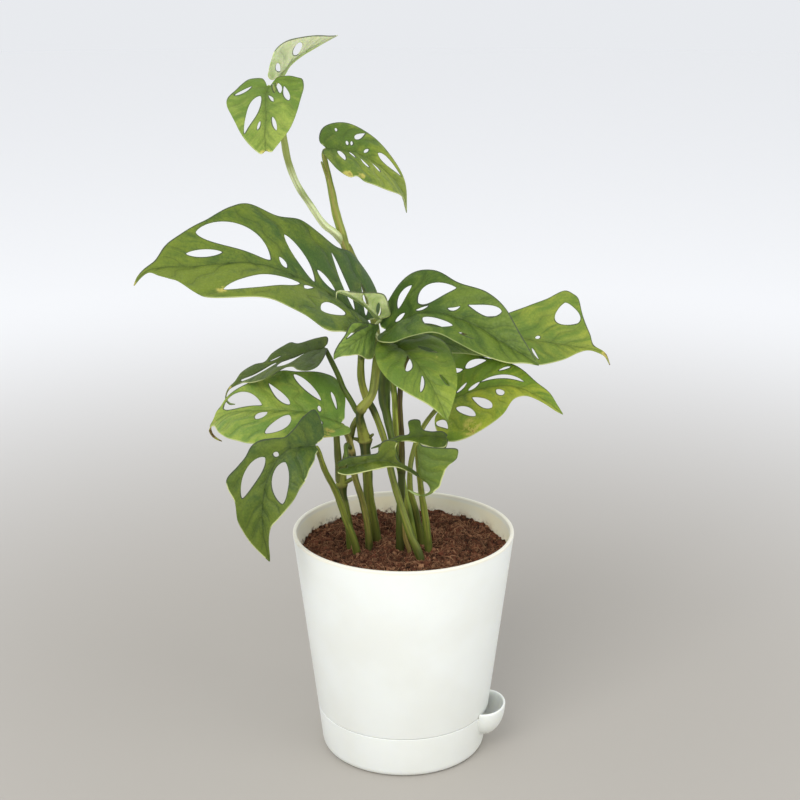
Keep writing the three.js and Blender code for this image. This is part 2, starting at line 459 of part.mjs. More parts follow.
// A hole is a rounded slot, pointed at both ends, that follows the side veins.
function holeLoop([u, v, long, wide, angle, taper, bow]) {
  const count = THREE.MathUtils.clamp(Math.round(long / 2), 6, BLADE.holePoints);
  const turn = radians(angle);
  return Array.from({ length: count }, (_, i) => {
    const a = (2 * Math.PI * i) / count;
    const x = Math.cos(a);
    const w = Math.sin(a) * Math.abs(Math.sin(a)) ** 0.35 * (1 + taper * x);
    const along = (x * long) / 2;
    const away = (w * wide) / 2 + bow * (1 - x * x);
    return new THREE.Vector2(
      u + along * Math.cos(turn) - away * Math.sin(turn),
      v + along * Math.sin(turn) + away * Math.cos(turn),
    );
  });
}

// Moves each point of a loop outwards, across the line between its neighbours.
function grown(loop, amount) {
  return loop.map((p, i) => {
    const before = loop.at(i - 1);
    const after = loop[(i + 1) % loop.length];
    const along = after.clone().sub(before).normalize();
    return new THREE.Vector2(p.x + along.y * amount, p.y - along.x * amount);
  });
}

const cross2 = (a, b, c) => (b.x - a.x) * (c.y - a.y) - (b.y - a.y) * (c.x - a.x);

// True where d lies inside the circle through a, b and c.
function inCircle(a, b, c, d) {
  const row = (p) => [p.x - d.x, p.y - d.y, (p.x - d.x) ** 2 + (p.y - d.y) ** 2];
  const [A, B, C] = [row(a), row(b), row(c)];
  return A[0] * (B[1] * C[2] - B[2] * C[1]) - A[1] * (B[0] * C[2] - B[2] * C[0])
    + A[2] * (B[0] * C[1] - B[1] * C[0]) > 1e-9;
}

// Flips shared edges until the mesh is Delaunay; border edges are never shared.
function relax(points, triangles) {
  for (let pass = 0; pass < 60; pass += 1) {
    const owner = new Map();
    triangles.forEach((tri, t) => tri.forEach((a, k) => owner.set(`${a},${tri[(k + 1) % 3]}`, [t, k])));
    const touched = new Set();
    for (const [key, [t, k]] of owner) {
      const [a, b] = key.split(",").map(Number);
      const twin = owner.get(`${b},${a}`);
      if (a > b || !twin || touched.has(t) || touched.has(twin[0])) continue;
      const c = triangles[t][(k + 2) % 3];
      const d = triangles[twin[0]][(twin[1] + 2) % 3];
      const [A, B, C, D] = [a, b, c, d].map((i) => points[i]);
      if (cross2(C, D, B) <= 1e-6 || cross2(D, C, A) <= 1e-6 || !inCircle(A, B, C, D)) continue;
      triangles[t] = [c, d, b];
      triangles[twin[0]] = [d, c, a];
      touched.add(t).add(twin[0]);
    }
    if (touched.size === 0) return;
  }
}

// Inner points: a row along the rib and a staggered lattice, clear of every border.
function innerPoints(loops, length) {
  const step = BLADE.lattice;
  const clear = (p, least) => loops.every((loop) => loop.every((q) => p.distanceTo(q) > least));
  const rib = [];
  for (let u = step / 2; u < length - 4; u += step * 0.9) rib.push(new THREE.Vector2(u, 0));
  const field = [];
  for (let row = -6; row <= 6; row += 1) {
    if (row === 0) continue;
    for (let u = -2 * step; u < length; u += step) {
      field.push(new THREE.Vector2(u + (row % 2 ? step / 2 : 0), row * step * 0.87));
    }
  }
  return [...rib.filter((p) => clear(p, 1.6)), ...field.filter((p) => clear(p, step * 0.45))];
}

// Splits the triangle that a point lies in; a point on an edge or outside is left out.
function insertPoint(points, triangles, p) {
  const leftOf = (a, b) => cross2(points[a], points[b], p) > 1e-3;
  const t = triangles.findIndex(([a, b, c]) => leftOf(a, b) && leftOf(b, c) && leftOf(c, a));
  if (t < 0) return;
  const [a, b, c] = triangles[t];
  const n = points.push(p) - 1;
  triangles.splice(t, 1, [a, b, n], [b, c, n], [c, a, n]);
}

// The flat outline as triangles; the border loops come first in `points`.
function flatBlade(spec, length, grow) {
  const contour = grown(outline(spec, length), grow);
  const holes = spec.holes.map((hole) => grown(holeLoop(hole), -grow).reverse());
  const loops = [contour, ...holes];
  const points = loops.flat();
  const triangles = THREE.ShapeUtils.triangulateShape(contour, holes)
    .map(([a, b, c]) => (cross2(points[a], points[b], points[c]) > 0 ? [a, b, c] : [a, c, b]));
  const border = loops.map((loop) => loop.length);
  innerPoints(loops, length).forEach((p) => insertPoint(points, triangles, p));
  relax(points, triangles);
  return { points, triangles, border };
}

// Top and bottom share the flat triangles, and a strip closes every border.
function bladeSolid(spec, grow = 0) {
  const { place, length } = bladeSurface(spec);
  const { points, triangles, border } = flatBlade(spec, length, grow);
  const half = BLADE.thick / 2 + grow;
  const positions = [half, -half].flatMap((lift) =>
    points.flatMap((p) => place(p.x, p.y, lift).toArray()));
  const under = points.length;
  const index = triangles.flatMap(([a, b, c]) => [a, b, c, a + under, c + under, b + under]);
  let first = 0;
  border.forEach((count) => {
    for (let i = 0; i < count; i += 1) {
      const a = first + i;
      const b = first + ((i + 1) % count);
      index.push(a, a + under, b, b, a + under, b + under);
    }
    first += count;
  });
  const geometry = new THREE.BufferGeometry();
  geometry.setAttribute("position", new THREE.Float32BufferAttribute(positions, 3));
  geometry.setIndex(index);
  return solidOf(geometry);
}

// ---------- pot, tray and soil ----------
const wallR = (z) =>
  THREE.MathUtils.mapLinear(z, TRAY.height, POT.height, POT.seamR, POT.topR);

// One shell: tapered wall, floor, and a slotted well that dips into the water.
function potSolid() {
  const { height, wall, lip, round } = POT;
  const { r, wall: wellWall, bottom, floorZ, floor, slots, slot, slotH } = WELL;
  const foot = TRAY.height + GAP;
  const shell = lathe([
    [0, bottom], [r, bottom], [r, floorZ], [wallR(floorZ) - wall, floorZ],
    [wallR(foot) - wall, foot], [wallR(foot), foot], [wallR(height - lip), height - lip],
    [wallR(height) - round, height], [wallR(height) - wall + round, height],
    [wallR(height - lip) - wall, height - lip], [wallR(floorZ + floor + COVE) - wall, floorZ + floor + COVE],
    [wallR(floorZ) - wall - COVE, floorZ + floor], [r - wellWall, floorZ + floor],
    [r - wellWall, bottom + wellWall], [0, bottom + wellWall],
  ]);
  const slotBars = Array.from({ length: slots / 2 }, (_, i) =>
    solidOf(new THREE.BoxGeometry(2 * r + slot, slot, slotH)
      .translate(0, 0, bottom + slotH).rotateZ((i * 2 * Math.PI) / slots)));
  return slotBars.reduce((pot, bar) => pot.subtract(bar), shell);
}

const ellipsoid = (out, half, deep) =>
  solidOf(new THREE.SphereGeometry(1, 28, 18).scale(out, half, deep)
    .translate(TRAY.baseR, 0, SPOUT.lipZ).rotateZ(radians(SPOUT.azimuth)));

const cylinder = (r, fromZ, toZ) =>
  solidOf(new THREE.CylinderGeometry(r, r, toZ - fromZ, LATHE_SIDES).rotateX(Math.PI / 2)
    .translate(0, 0, (fromZ + toZ) / 2));

// A shallow dish with a rim that the pot's skirt drops over, and a half-cup on its
// side that water is poured into.
function traySolid() {
  const { height, baseR, wall, floor, edge, ring, play } = TRAY;
  const { out, half, deep, wall: cupWall, lipZ } = SPOUT;
  const skirtR = wallR(height) - POT.wall - GAP - play;
  const ringTop = height + ring;
  const dish = lathe([
    [0, 0], [baseR - edge, 0], [baseR - edge * 0.35, edge * 0.3], [baseR, edge],
    [POT.seamR, height], [skirtR, height], [skirtR, ringTop], [skirtR - wall, ringTop],
    [skirtR - wall, height - COVE], [baseR - wall, floor + COVE], [baseR - wall - COVE, floor],
    [0, floor],
  ]);
  const potSpace = lathe([
    [0, height], [wallR(height) + GAP, height], [wallR(ringTop) + GAP, ringTop], [0, ringTop],
  ]);
  const insideTray = cylinder(skirtR, 0, ringTop).add(potSpace);
  const belowLip = cylinder(baseR + 2 * out, 0, lipZ);
  const cup = ellipsoid(out, half, deep).intersect(belowLip).subtract(insideTray);
  const hollow = ellipsoid(out - cupWall, half - cupWall, deep - cupWall);
  return largest(dish.add(cup).subtract(hollow));
}

// The mix fills the pot and its well, and its top rises gently to the middle.
function soilSolid() {
  const { edgeZ, crownZ, bankW } = SOIL;
  const { r, wall, bottom, floorZ, floor } = WELL;
  const wellR = r - wall - GAP;
  const wellZ = bottom + wall + GAP;
  const low = floorZ + floor + GAP;
  const inner = (z) => wallR(z) - POT.wall - GAP;
  const crown = (r1) => THREE.MathUtils.lerp(crownZ, edgeZ, (r1 / inner(edgeZ)) ** 2);
  return lathe([
    [0, wellZ], [wellR, wellZ], [wellR, low], [inner(low) - COVE - GAP, low],
    [inner(low + COVE) - GAP, low + COVE], [inner(edgeZ) - GAP, edgeZ],
    [inner(edgeZ) - bankW, crown(inner(edgeZ) - bankW)], [30, crown(30)], [0, crownZ],
  ]);
}

// ---------- assembly ----------
const group = new THREE.Group();

function addPart(name, look, manifold) {
  const [color, roughness] = COLORS[look];
  const material = new THREE.MeshStandardMaterial({ color, roughness, metalness: 0 });
  const mesh = new THREE.Mesh(geometryOf(manifold), material);
  mesh.name = name;
  group.add(mesh);
}

const rooted = Object.values(STEMS).filter((stem) => stem.route[0][2] === FOOT);
const potting = rooted.reduce((soil, { route }) =>
  soil.subtract(bentTube(route.slice(0, 3), GAP * 1.5)), soilSolid());

addPart("water_tray", "tray", traySolid());
addPart("pot", "pot", potSolid());
addPart("potting_mix", "soil", largest(potting));

Object.entries(BLADES).forEach(([name, spec]) => addPart(name, spec.look, bladeSolid(spec)));

// A petiole stops just short of the stems that it grows beside and of its blade.
Object.entries(STEMS).forEach(([name, stem]) => {
  let solid = stemSolid(stem);
  (stem.of ?? []).forEach((parent) => {
    solid = solid.subtract(stemSolid(STEMS[parent], GAP));
  });
  if (stem.bears) solid = solid.subtract(bladeSolid(BLADES[stem.bears], GAP * 1.4));
  addPart(name, stem.look, largest(solid));
});

export default group;
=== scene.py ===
"""A young swiss cheese vine in its self-watering pot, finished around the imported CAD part.

Metres, +Z up, the origin on the pot's axis at the underside. The plant's tables are in millimetres.
"""

import math

import bpy
import numpy as np
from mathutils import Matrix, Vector
from mathutils.geometry import delaunay_2d_cdt


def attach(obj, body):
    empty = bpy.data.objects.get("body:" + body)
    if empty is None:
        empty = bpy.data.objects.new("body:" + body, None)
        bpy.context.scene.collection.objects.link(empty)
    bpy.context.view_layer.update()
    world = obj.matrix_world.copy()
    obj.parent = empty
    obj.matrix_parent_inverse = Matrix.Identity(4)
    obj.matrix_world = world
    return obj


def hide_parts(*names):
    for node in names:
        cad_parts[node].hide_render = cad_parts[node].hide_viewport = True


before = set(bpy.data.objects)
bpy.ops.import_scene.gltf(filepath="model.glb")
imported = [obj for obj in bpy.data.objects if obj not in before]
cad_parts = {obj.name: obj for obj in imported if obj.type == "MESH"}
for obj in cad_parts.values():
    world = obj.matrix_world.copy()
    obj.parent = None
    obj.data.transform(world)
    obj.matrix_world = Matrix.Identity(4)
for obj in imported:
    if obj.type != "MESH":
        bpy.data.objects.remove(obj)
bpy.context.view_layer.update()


# ---------- studio ----------
# A pale table that fades to white all round, under an even white sky and a broad soft window
# light from the upper left. The camera stands a little above the rim and looks slightly down.
MM = 0.001
CAMERA = {"at": (-2, -838, 470), "down": 16.9, "focal": 1529, "picture": 800, "sensor": 36}
FLOOR = {"radius": 6000, "near": 150, "far": 1300, "sides": 96, "grey": (178, 173, 165),
         "white": (254, 254, 254)}
SKY = {"colour": (0.93, 0.95, 0.985, 1.0), "strength": 0.87}
LIGHT_AIM = (0, 0, 200)  # both lights are square and face this point, in mm
LIGHTS = {"window": {"at": (-700, -1500, 1500), "size": 1300, "power": 24},
          "fill": {"at": (1300, -900, 700), "size": 1200, "power": 6}}

camera = bpy.data.objects.new("camera", bpy.data.cameras.new("camera"))
camera.location = [value * MM for value in CAMERA["at"]]
camera.rotation_euler = (math.radians(90 - CAMERA["down"]), 0, 0)
camera.data.sensor_width = CAMERA["sensor"]
camera.data.lens = CAMERA["sensor"] * CAMERA["focal"] / CAMERA["picture"]
camera.data.clip_start, camera.data.clip_end = 0.05, 50
bpy.context.scene.collection.objects.link(camera)
bpy.context.scene.camera = camera
bpy.context.scene.view_settings.view_transform = "Standard"


def srgb(red, green, blue):
    """A colour given as on a screen, 0 to 255, in the linear light that shaders use."""
    screen = np.array([red, green, blue]) / 255
    linear = np.where(screen < 0.04045, screen / 12.92, ((screen + 0.055) / 1.055) ** 2.4)
    return (*linear.tolist(), 1.0)


class Value:
    """One output in a material. Arithmetic on it adds Math nodes."""

    def __init__(self, finish, socket):
        self.finish, self.socket = finish, socket

    def math(self, operation, *others):
        return self.finish.add("Math", dict(enumerate((self, *others))), operation=operation)

    def __add__(self, other):
        return self.math("ADD", other)

    def __sub__(self, other):
        return self.math("SUBTRACT", other)

    def __rsub__(self, other):
        return self.finish.add("Math", {0: other, 1: self}, operation="SUBTRACT")

    def __mul__(self, other):
        return self.math("MULTIPLY", other)

    def __truediv__(self, other):
        return self.math("DIVIDE", other)

    def __pow__(self, other):
        return self.math("POWER", other)

    def __abs__(self):
        return self.math("ABSOLUTE")

    __radd__ = __add__
    __rmul__ = __mul__

    def rise(self, low, high):
        """A smooth step from 0 at `low` to 1 at `high`, or down where `high` is the smaller."""
        if high < low:
            return 1 - self.rise(high, low)
        sockets = {"Value": self, "From Min": low, "From Max": high}
        return self.finish.add("MapRange", sockets, interpolation_type="SMOOTHSTEP")


class Finish:
    """A material built from nodes. `add` makes any node: settings first, then its sockets."""

    def __init__(self, name):
        self.material = bpy.data.materials.new(name)
        self.material.use_nodes = True
        self.nodes = self.material.node_tree.nodes
        self.links = self.material.node_tree.links
        self.nodes.clear()

    def add(self, kind, sockets=None, output=0, **settings):
        node = self.nodes.new("ShaderNode" + kind)
        for key, value in settings.items():
            setattr(node, key, value)
        for key, value in (sockets or {}).items():
            if isinstance(value, Value):
                self.links.new(value.socket, node.inputs[key])
            else:
                node.inputs[key].default_value = value
        return Value(self, node.outputs[output]) if node.outputs else None

    def place(self):
        return self.add("TexCoord", output="Object")

    def attribute(self, name):
        return self.add("Attribute", output="Fac", attribute_name=name)

    def scaled(self, vector, by):
        return self.add("VectorMath", {0: vector, 1: by}, operation="MULTIPLY")

    def noise(self, where, scale, detail=2.0, rough=0.5):
        sockets = {"Vector": where, "Scale": scale, "Detail": detail, "Roughness": rough}
        return self.add("TexNoise", sockets)

    def mix(self, factor, first, second):
        return self.add("Mix", {0: factor, 6: first, 7: second}, output=2, data_type="RGBA")

    def bump(self, height, distance, strength):
        return self.add("Bump", {"Height": height, "Distance": distance, "Strength": strength})

    def surface(self, sockets):
        shader = self.add("BsdfPrincipled", sockets)
        self.add("OutputMaterial", {"Surface": shader})
        return self.material


def new_piece(name, points, faces, *finishes, **marks):
    """An object at the origin from points in metres and faces, shaded smooth. Each mark is one
    number for every point, kept under its name for the finish to read."""
    mesh = bpy.data.meshes.new(name)
    mesh.from_pydata(points.tolist(), [], faces if isinstance(faces, list) else faces.tolist())
    mesh.shade_smooth()
    for finish in finishes:
        mesh.materials.append(finish)
    for mark, values in marks.items():
        layer = mesh.attributes.new(mark, "FLOAT", "POINT")
        layer.data.foreach_set("value", np.asarray(values, np.float32).ravel())
    piece = bpy.data.objects.new(name, mesh)
    bpy.context.scene.collection.objects.link(piece)
    return piece


def floor_finish():
    """Matt warm grey that fades to white with the distance from the plant."""
    finish = Finish("pale_table")
    away = finish.add("VectorMath", {0: finish.place()}, output="Value", operation="LENGTH")
    fade = away.rise(FLOOR["near"] * MM, FLOOR["far"] * MM)
    colour = finish.mix(fade, srgb(*FLOOR["grey"]), srgb(*FLOOR["white"]))
    return finish.surface({"Base Color": colour, "Roughness": 0.9, "Specular IOR Level": 0.2})


turn = np.linspace(0, 2 * np.pi, FLOOR["sides"], endpoint=False)
rim = FLOOR["radius"] * MM * np.stack([np.cos(turn), np.sin(turn), 0 * turn], axis=-1)
floor = new_piece("table_top", rim, [list(range(FLOOR["sides"]))], floor_finish())

world = bpy.data.worlds.new("sky")
world.use_nodes = True
world.node_tree.nodes["Background"].inputs["Color"].default_value = SKY["colour"]
world.node_tree.nodes["Background"].inputs["Strength"].default_value = SKY["strength"]
bpy.context.scene.world = world

for name, facts in LIGHTS.items():
    light = bpy.data.objects.new(name, bpy.data.lights.new(name, "AREA"))
    light.data.size, light.data.energy = facts["size"] * MM, facts["power"]
    light.location = np.array(facts["at"]) * MM
    x, y, z = np.subtract(LIGHT_AIM, facts["at"])
    light.rotation_euler = (math.atan2(math.hypot(x, y), -z), 0, math.atan2(-x, y))
    bpy.context.scene.collection.objects.link(light)


# ---------- water tray ----------
# A shallow injection-moulded dish that stands under the pot and holds its water, with a half-cup
# on its side for pouring. Warm white satin plastic. A ring on its edge fits inside the pot's skirt.
POT = {"topR": 65, "seamR": 51.6, "height": 136.5, "wall": 2.4, "seam": 26, "gap": 0.3}
TRAY = {"baseR": 49.8, "wall": 2, "floor": 2.2, "edge": 4, "ring": 4, "play": 0.2}
SPOUT = {"azimuth": -12, "out": 12.5, "half": 17, "deep": 18.5, "wall": 1.8, "lipZ": 28}
LATHE_SIDES = 160
SHARP = math.radians(38)
# The inside wall's colour is warmer and lighter than the plastic: painted glow of light through the
# plastic and of light bounced off the mix.
PLASTIC = {"bright": (240, 243, 238), "dull": (235, 237, 230), "rim_tint": (238, 228, 204),
           "film_and_glow": (246, 238, 208), "haze": (172, 136, 84), "splash": (92, 56, 36)}
# Where the marks inside the pot begin and are full, in mm below the rim.
DEPTHS = {"rim_tint": (2.4, 0.8), "film_and_glow": (0.5, 4), "haze": (5, 13), "splash": (8, 12.5)}


def wall_radius(z):
    """The pot's outside radius at a height: a straight taper from the seam to the rim."""
    rise = (z - POT["seam"]) / (POT["height"] - POT["seam"])
    return POT["seamR"] + rise * (POT["topR"] - POT["seamR"])


def rounded(corners, steps=6):
    """A profile through corners of (radius, height, fillet). Each fillet is the curve
    (1-t)^2 a + 2t(1-t) corner + t^2 b, with a and b `fillet` away from the corner."""
    t = np.linspace(0, 1, steps)[:, None]
    corners = np.array(corners, float)
    profile = [corners[:1, :2]]
    for before, corner, after in zip(corners, corners[1:], corners[2:]):
        at, fillet = corner[:2], corner[2]
        ends = [at + (end[:2] - at) * min(0.5, fillet / np.linalg.norm(end[:2] - at))
                for end in (before, after)]
        arc = (1 - t) ** 2 * ends[0] + 2 * t * (1 - t) * at + t**2 * ends[1]
        profile.append(arc if fillet else at[None])
    return np.vstack([*profile, corners[-1:, :2]])


def grid_faces(rows, columns):
    """Quads of a grid whose last column joins its first: corner, next column, next row."""
    row, column = np.arange(rows - 1)[:, None], np.arange(columns)[None]
    beside = (column + 1) % columns
    corners = [row * columns + column, row * columns + beside,
               (row + 1) * columns + beside, (row + 1) * columns + column]
    return np.stack(corners, axis=-1).reshape(-1, 4)


def turned(vectors, spin, tip=0.0):
    """Vectors turned by `tip` about X and then by `spin` about Z, in radians."""
    x, y, z = np.moveaxis(vectors, -1, 0)
    y, z = y * np.cos(tip) - z * np.sin(tip), y * np.sin(tip) + z * np.cos(tip)
    return np.stack([x * np.cos(spin) - y * np.sin(spin), x * np.sin(spin) + y * np.cos(spin), z], axis=-1)


def closed_grid(rings, start, end):
    """A rows x columns x 3 grid of rings and a point that closes each end with a fan."""
    rows, columns = rings.shape[:2]
    first = np.arange(columns)
    beside, last = (first + 1) % columns, (rows - 1) * columns
    tip = np.full(columns, rows * columns)
    fans = np.vstack([np.stack([tip, beside, first], axis=-1),
                      np.stack([tip + 1, first + last, beside + last], axis=-1)])
    faces = grid_faces(rows, columns).tolist() + fans.tolist()
    return np.vstack([rings.reshape(-1, 3), start, end]), faces


def lathe(name, profile, *finishes, sides=LATHE_SIDES, squash=(1, 1)):
    """A (radius, height) profile in mm turned about the axis: x = r cos a, y = r sin a."""
    around = np.linspace(0, 2 * np.pi, sides, endpoint=False)
    radius, height = profile[1:-1].T
    rings = np.stack([np.outer(radius, np.cos(around)) * squash[0],
                      np.outer(radius, np.sin(around)) * squash[1],
                      np.outer(height, np.ones(sides))], axis=-1)
    poles = [[0, 0, profile[0, 1]], [0, 0, profile[-1, 1]]]
    points, faces = closed_grid(rings, *poles)
    return new_piece(name, points * MM, faces, *finishes)


def carve(piece, tool, operation):
    """Cuts or joins the tool's shape with the piece for good, and removes the tool."""
    change = piece.modifiers.new(operation, "BOOLEAN")
    change.operation, change.object, change.solver = operation, tool, "EXACT"
    graph = bpy.context.evaluated_depsgraph_get()
    mesh = bpy.data.meshes.new_from_object(piece.evaluated_get(graph))
    piece.modifiers.clear()
    piece.data = mesh
    bpy.data.objects.remove(tool)


def plastic_finish(name, stained):
    """Warm white satin moulding with a fine grain. Inside the pot, splashes of the mix and stains of
    haze cling to the wall just above the mix, and all of the inside is a dull coat whose warmer,
    lighter colour is painted glow: light through the plastic and light bounced off the mix."""
    finish = Finish(name)
    tones = {part: srgb(*colour) for part, colour in PLASTIC.items()}
    place = finish.place()
    cloud = finish.noise(place, 22, 3)
    grain = finish.noise(place, 900, 2)
    colour = finish.mix(cloud.rise(0.35, 0.7), tones["bright"], tones["dull"])
    rough = 0.34 + 0.1 * cloud + 0.05 * grain
    if stained:
        x, y, z = (finish.add("SeparateXYZ", {0: place}, output=axis) for axis in range(3))
        level = POT["height"] - z / MM
        wall = wall_radius(0) + z / MM * ((POT["topR"] - POT["seamR"]) / (POT["height"] - POT["seam"]))
        radius = (x * x + y * y) ** 0.5 / MM
        inside = (wall - radius).rise(POT["wall"] * 0.6, POT["wall"] * 0.95)
        film_and_glow = inside * (0.5 + 0.5 * cloud.rise(0.3, 0.7)) * level.rise(*DEPTHS["film_and_glow"])
        # A creamier tint over the top of the rim, gone 2.4 mm below it.
        colour = finish.mix(level.rise(*DEPTHS["rim_tint"]) * 0.55, colour, tones["rim_tint"])
        # The inside wall painted warmer and lighter, as painted glow through the plastic and bounced light
        # from the mix.
        colour = finish.mix(film_and_glow, colour, tones["film_and_glow"])
        blot = finish.noise(place, 60, 3, 0.6)
        haze = inside * level.rise(*DEPTHS["haze"]) * blot.rise(0.45, 0.7)
        colour = finish.mix(haze * 0.5, colour, tones["haze"])
        specks = finish.noise(place, 330, 2, 0.6).rise(0.5, 0.62)
        splash = inside * specks * level.rise(*DEPTHS["splash"]) * blot.rise(0.38, 0.6)
        colour = finish.mix(splash * 0.9, colour, tones["splash"])
        rough = rough + 0.25 * film_and_glow + 0.3 * splash
    bump = finish.bump(grain + 1.5 * cloud, 0.00006, 0.5)
    return finish.surface({"Base Color": colour, "Roughness": rough, "Normal": bump,
                           "Subsurface Weight": 0.12, "Subsurface Scale": 0.002,
                           "Subsurface Radius": (1.0, 0.9, 0.6)})


skirt = wall_radius(POT["seam"]) - POT["wall"] - POT["gap"] - TRAY["play"]
ring_top = POT["seam"] + TRAY["ring"]
inner_foot = TRAY["baseR"] - TRAY["wall"]
tray = lathe("tray_body", rounded([
    (0, 0, 0), (TRAY["baseR"] - 1.2, 0, TRAY["edge"]), (POT["seamR"], POT["seam"], 0.5),
    (skirt, POT["seam"], 0.3), (skirt, ring_top, 0.5), (skirt - TRAY["wall"], ring_top, 0.5),
    (inner_foot, TRAY["floor"], 3), (0, TRAY["floor"], 0),
]), plastic_finish("tray_plastic", False))

# The cup is half an egg: radius and depth follow a quarter ellipse outside and inside the lip.
quarter = np.linspace(0, np.pi / 2, 24)
shell = 1 - SPOUT["wall"] / SPOUT["half"]
outside = np.stack([np.sin(quarter), -np.cos(quarter)], axis=-1)
over = np.linspace(0, np.pi, 8)
lip = np.stack([1 - (1 - shell) / 2 * (1 - np.cos(over)), 0.04 * np.sin(over)], axis=-1)
cup_profile = np.vstack([outside, lip[1:-1], outside[::-1] * shell]) * [1, SPOUT["deep"]]
cup = lathe("cup", cup_profile, sides=72, squash=(SPOUT["out"], SPOUT["half"]))
# What is hollowed out is a hundredth smaller, so that no two faces lie in one plane.
hollow_profile = np.vstack([outside, outside[:0:-1] * [1, -1]]) * [1, SPOUT["deep"]] * (shell - 0.01)
hollow_profile[-1, 0] = 0
hollow = lathe("hollow", hollow_profile, sides=72, squash=(SPOUT["out"] * 0.995, SPOUT["half"]))
swing = math.radians(SPOUT["azimuth"])
for part in (cup, hollow):
    spots = np.empty(len(part.data.vertices) * 3)
    part.data.vertices.foreach_get("co", spots)
    spots = turned(spots.reshape(-1, 3) + [TRAY["baseR"] * MM, 0, 0], swing)
    spots += [0, 0, SPOUT["lipZ"] * MM]
    part.data.vertices.foreach_set("co", spots.ravel())
# Inside the ring and where the pot's skirt goes, the cup is cut away.
bore = skirt - 0.4
outer, skirt_end = wall_radius(POT["seam"]) + POT["gap"], wall_radius(ring_top) + POT["gap"]
for cut in ([[0, 0], [bore, 0], [bore, POT["height"]], [0, POT["height"]]],
            [[0, POT["seam"]], [outer, POT["seam"]], [skirt_end, ring_top], [0, ring_top]]):
    carve(cup, lathe("cut", np.array(cut)), "DIFFERENCE")
carve(tray, cup, "UNION")
carve(tray, hollow, "DIFFERENCE")
tray.data.set_sharp_from_angle(angle=SHARP)
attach(tray, "root")
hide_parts("water_tray")


# ---------- pot ----------
# One thin tapered shell with a rolled rim, moulded in the same plastic. Its skirt drops over the
# tray's ring, and a slotted well under its floor dips into the water.
WELL = {"r": 16, "wall": 2, "bottom": 5, "floorZ": 31, "floor": 2.2, "slots": 6, "slot": 4, "slotH": 9}
foot = POT["seam"] + POT["gap"]
floor_top = WELL["floorZ"] + WELL["floor"]
pot = lathe("pot_body", rounded([
    (0, WELL["bottom"], 0), (WELL["r"], WELL["bottom"], 1), (WELL["r"], WELL["floorZ"], 1),
    (wall_radius(WELL["floorZ"]) - POT["wall"], WELL["floorZ"], 1),
    (wall_radius(foot) - POT["wall"], foot, 0.4), (wall_radius(foot), foot, 0.5),
    (wall_radius(POT["height"]), POT["height"], 1.15),
    (wall_radius(POT["height"]) - POT["wall"], POT["height"], 1.15),
    (wall_radius(floor_top) - POT["wall"], floor_top, 4), (WELL["r"] - WELL["wall"], floor_top, 1),
    (WELL["r"] - WELL["wall"], WELL["bottom"] + WELL["wall"], 1), (0, WELL["bottom"] + WELL["wall"], 0),
]), plastic_finish("pot_plastic", True))
BAR_CORNERS = np.array([[x, y, z] for x in (-1, 1) for y in (-1, 1) for z in (-1, 1)], float)
BAR_FACES = [[0, 1, 3, 2], [4, 6, 7, 5], [0, 4, 5, 1], [2, 3, 7, 6], [0, 2, 6, 4], [1, 5, 7, 3]]
for number in range(WELL["slots"] // 2):
    angle = number * 2 * math.pi / WELL["slots"]
    bar = turned(BAR_CORNERS * [WELL["r"] + WELL["slot"], WELL["slot"] / 2, WELL["slotH"] / 2], angle)
    bar += [0, 0, WELL["bottom"] + WELL["slotH"]]
    carve(pot, new_piece("bar", bar * MM, BAR_FACES), "DIFFERENCE")
pot.data.set_sharp_from_angle(angle=SHARP)
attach(pot, "root")
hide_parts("pot")


# ---------- potting mix ----------
# Loose reddish coir and bark with pale fibres, heaped a little towards the stems and about a
# centimetre below the rim. A bumpy body carries a scatter of crumbs and of curled fibres.
SOIL = {"edgeZ": 124, "crownZ": 125, "lowZ": 34.5, "rows": 100, "sides": 360}
CRUMBS, FIBRES = 4600, 3000
CRUMB = {"small": 0.4, "range": 1.3, "margin": 1.5, "raised": 0.4}
FIBRE = {"rings": 6, "sides": 3, "short": 2, "range": 14, "radius": (0.1, 0.26), "margin": 5,
         "arc": 1.6, "rise": (-1, 3), "tip": 0.3, "above": 0.35}
TURN = 6.28  # about a full turn, in radians
TINY = 1e-6  # keeps a divisor from zero
CHIP = (10, -32.6, 2.4)  # a pale chip of bark: x, y and size in mm
LUMPS = ((34, 0.9), (17, 0.7), (9, 0.55), (5, 0.5), (3.2, 0.5), (2.2, 0.35))  # length, height in mm
COIR = {"shade": (30, 15, 10), "red": (122, 72, 52), "dry": (198, 148, 110), "damp": (26, 13, 9)}
random = np.random.default_rng(17)


def soil_height(x, y):
    """The top of the mix in mm: a low crown plus waves of several lengths and directions."""
    radius = np.hypot(x, y)
    edge = wall_radius(SOIL["edgeZ"]) - POT["wall"]
    height = SOIL["crownZ"] + (SOIL["edgeZ"] - SOIL["crownZ"]) * (radius / edge) ** 2
    for length, size in LUMPS:
        for angle, phase in ((0.4, 1.0), (1.5, 4.0), (2.6, 2.2), (3.5, 5.1)):
            wave = (x * math.cos(angle * length) + y * math.sin(angle * length)) * 2 * np.pi / length
            height = height + size / 2 * np.sin(wave + phase * length)
    return height


def coir_finish():
    """Dark reddish-brown, drier and paler on the high spots; each crumb has its own tint."""
    finish = Finish("coir_mix")
    tones = {part: srgb(*colour) for part, colour in COIR.items()}
    place = finish.place()
    tint = finish.attribute("tint")
    patch = finish.noise(place, 260, 4, 0.65)
    dark = finish.mix(patch.rise(0.36, 0.62), tones["shade"], tones["red"])
    colour = finish.mix(tint, dark, tones["dry"])
    damp = finish.noise(place, 70, 2).rise(0.45, 0.7)
    fine = finish.noise(place, 1800, 3, 0.7)
    colour = finish.mix(fine.rise(0.4, 0.7) * 0.4 + damp * 0.25, colour, tones["damp"])
    bump = finish.bump(fine + patch, 0.0008, 0.9)
    return finish.surface({"Base Color": colour, "Roughness": 0.95, "Normal": bump,
                           "Specular IOR Level": 0.15})


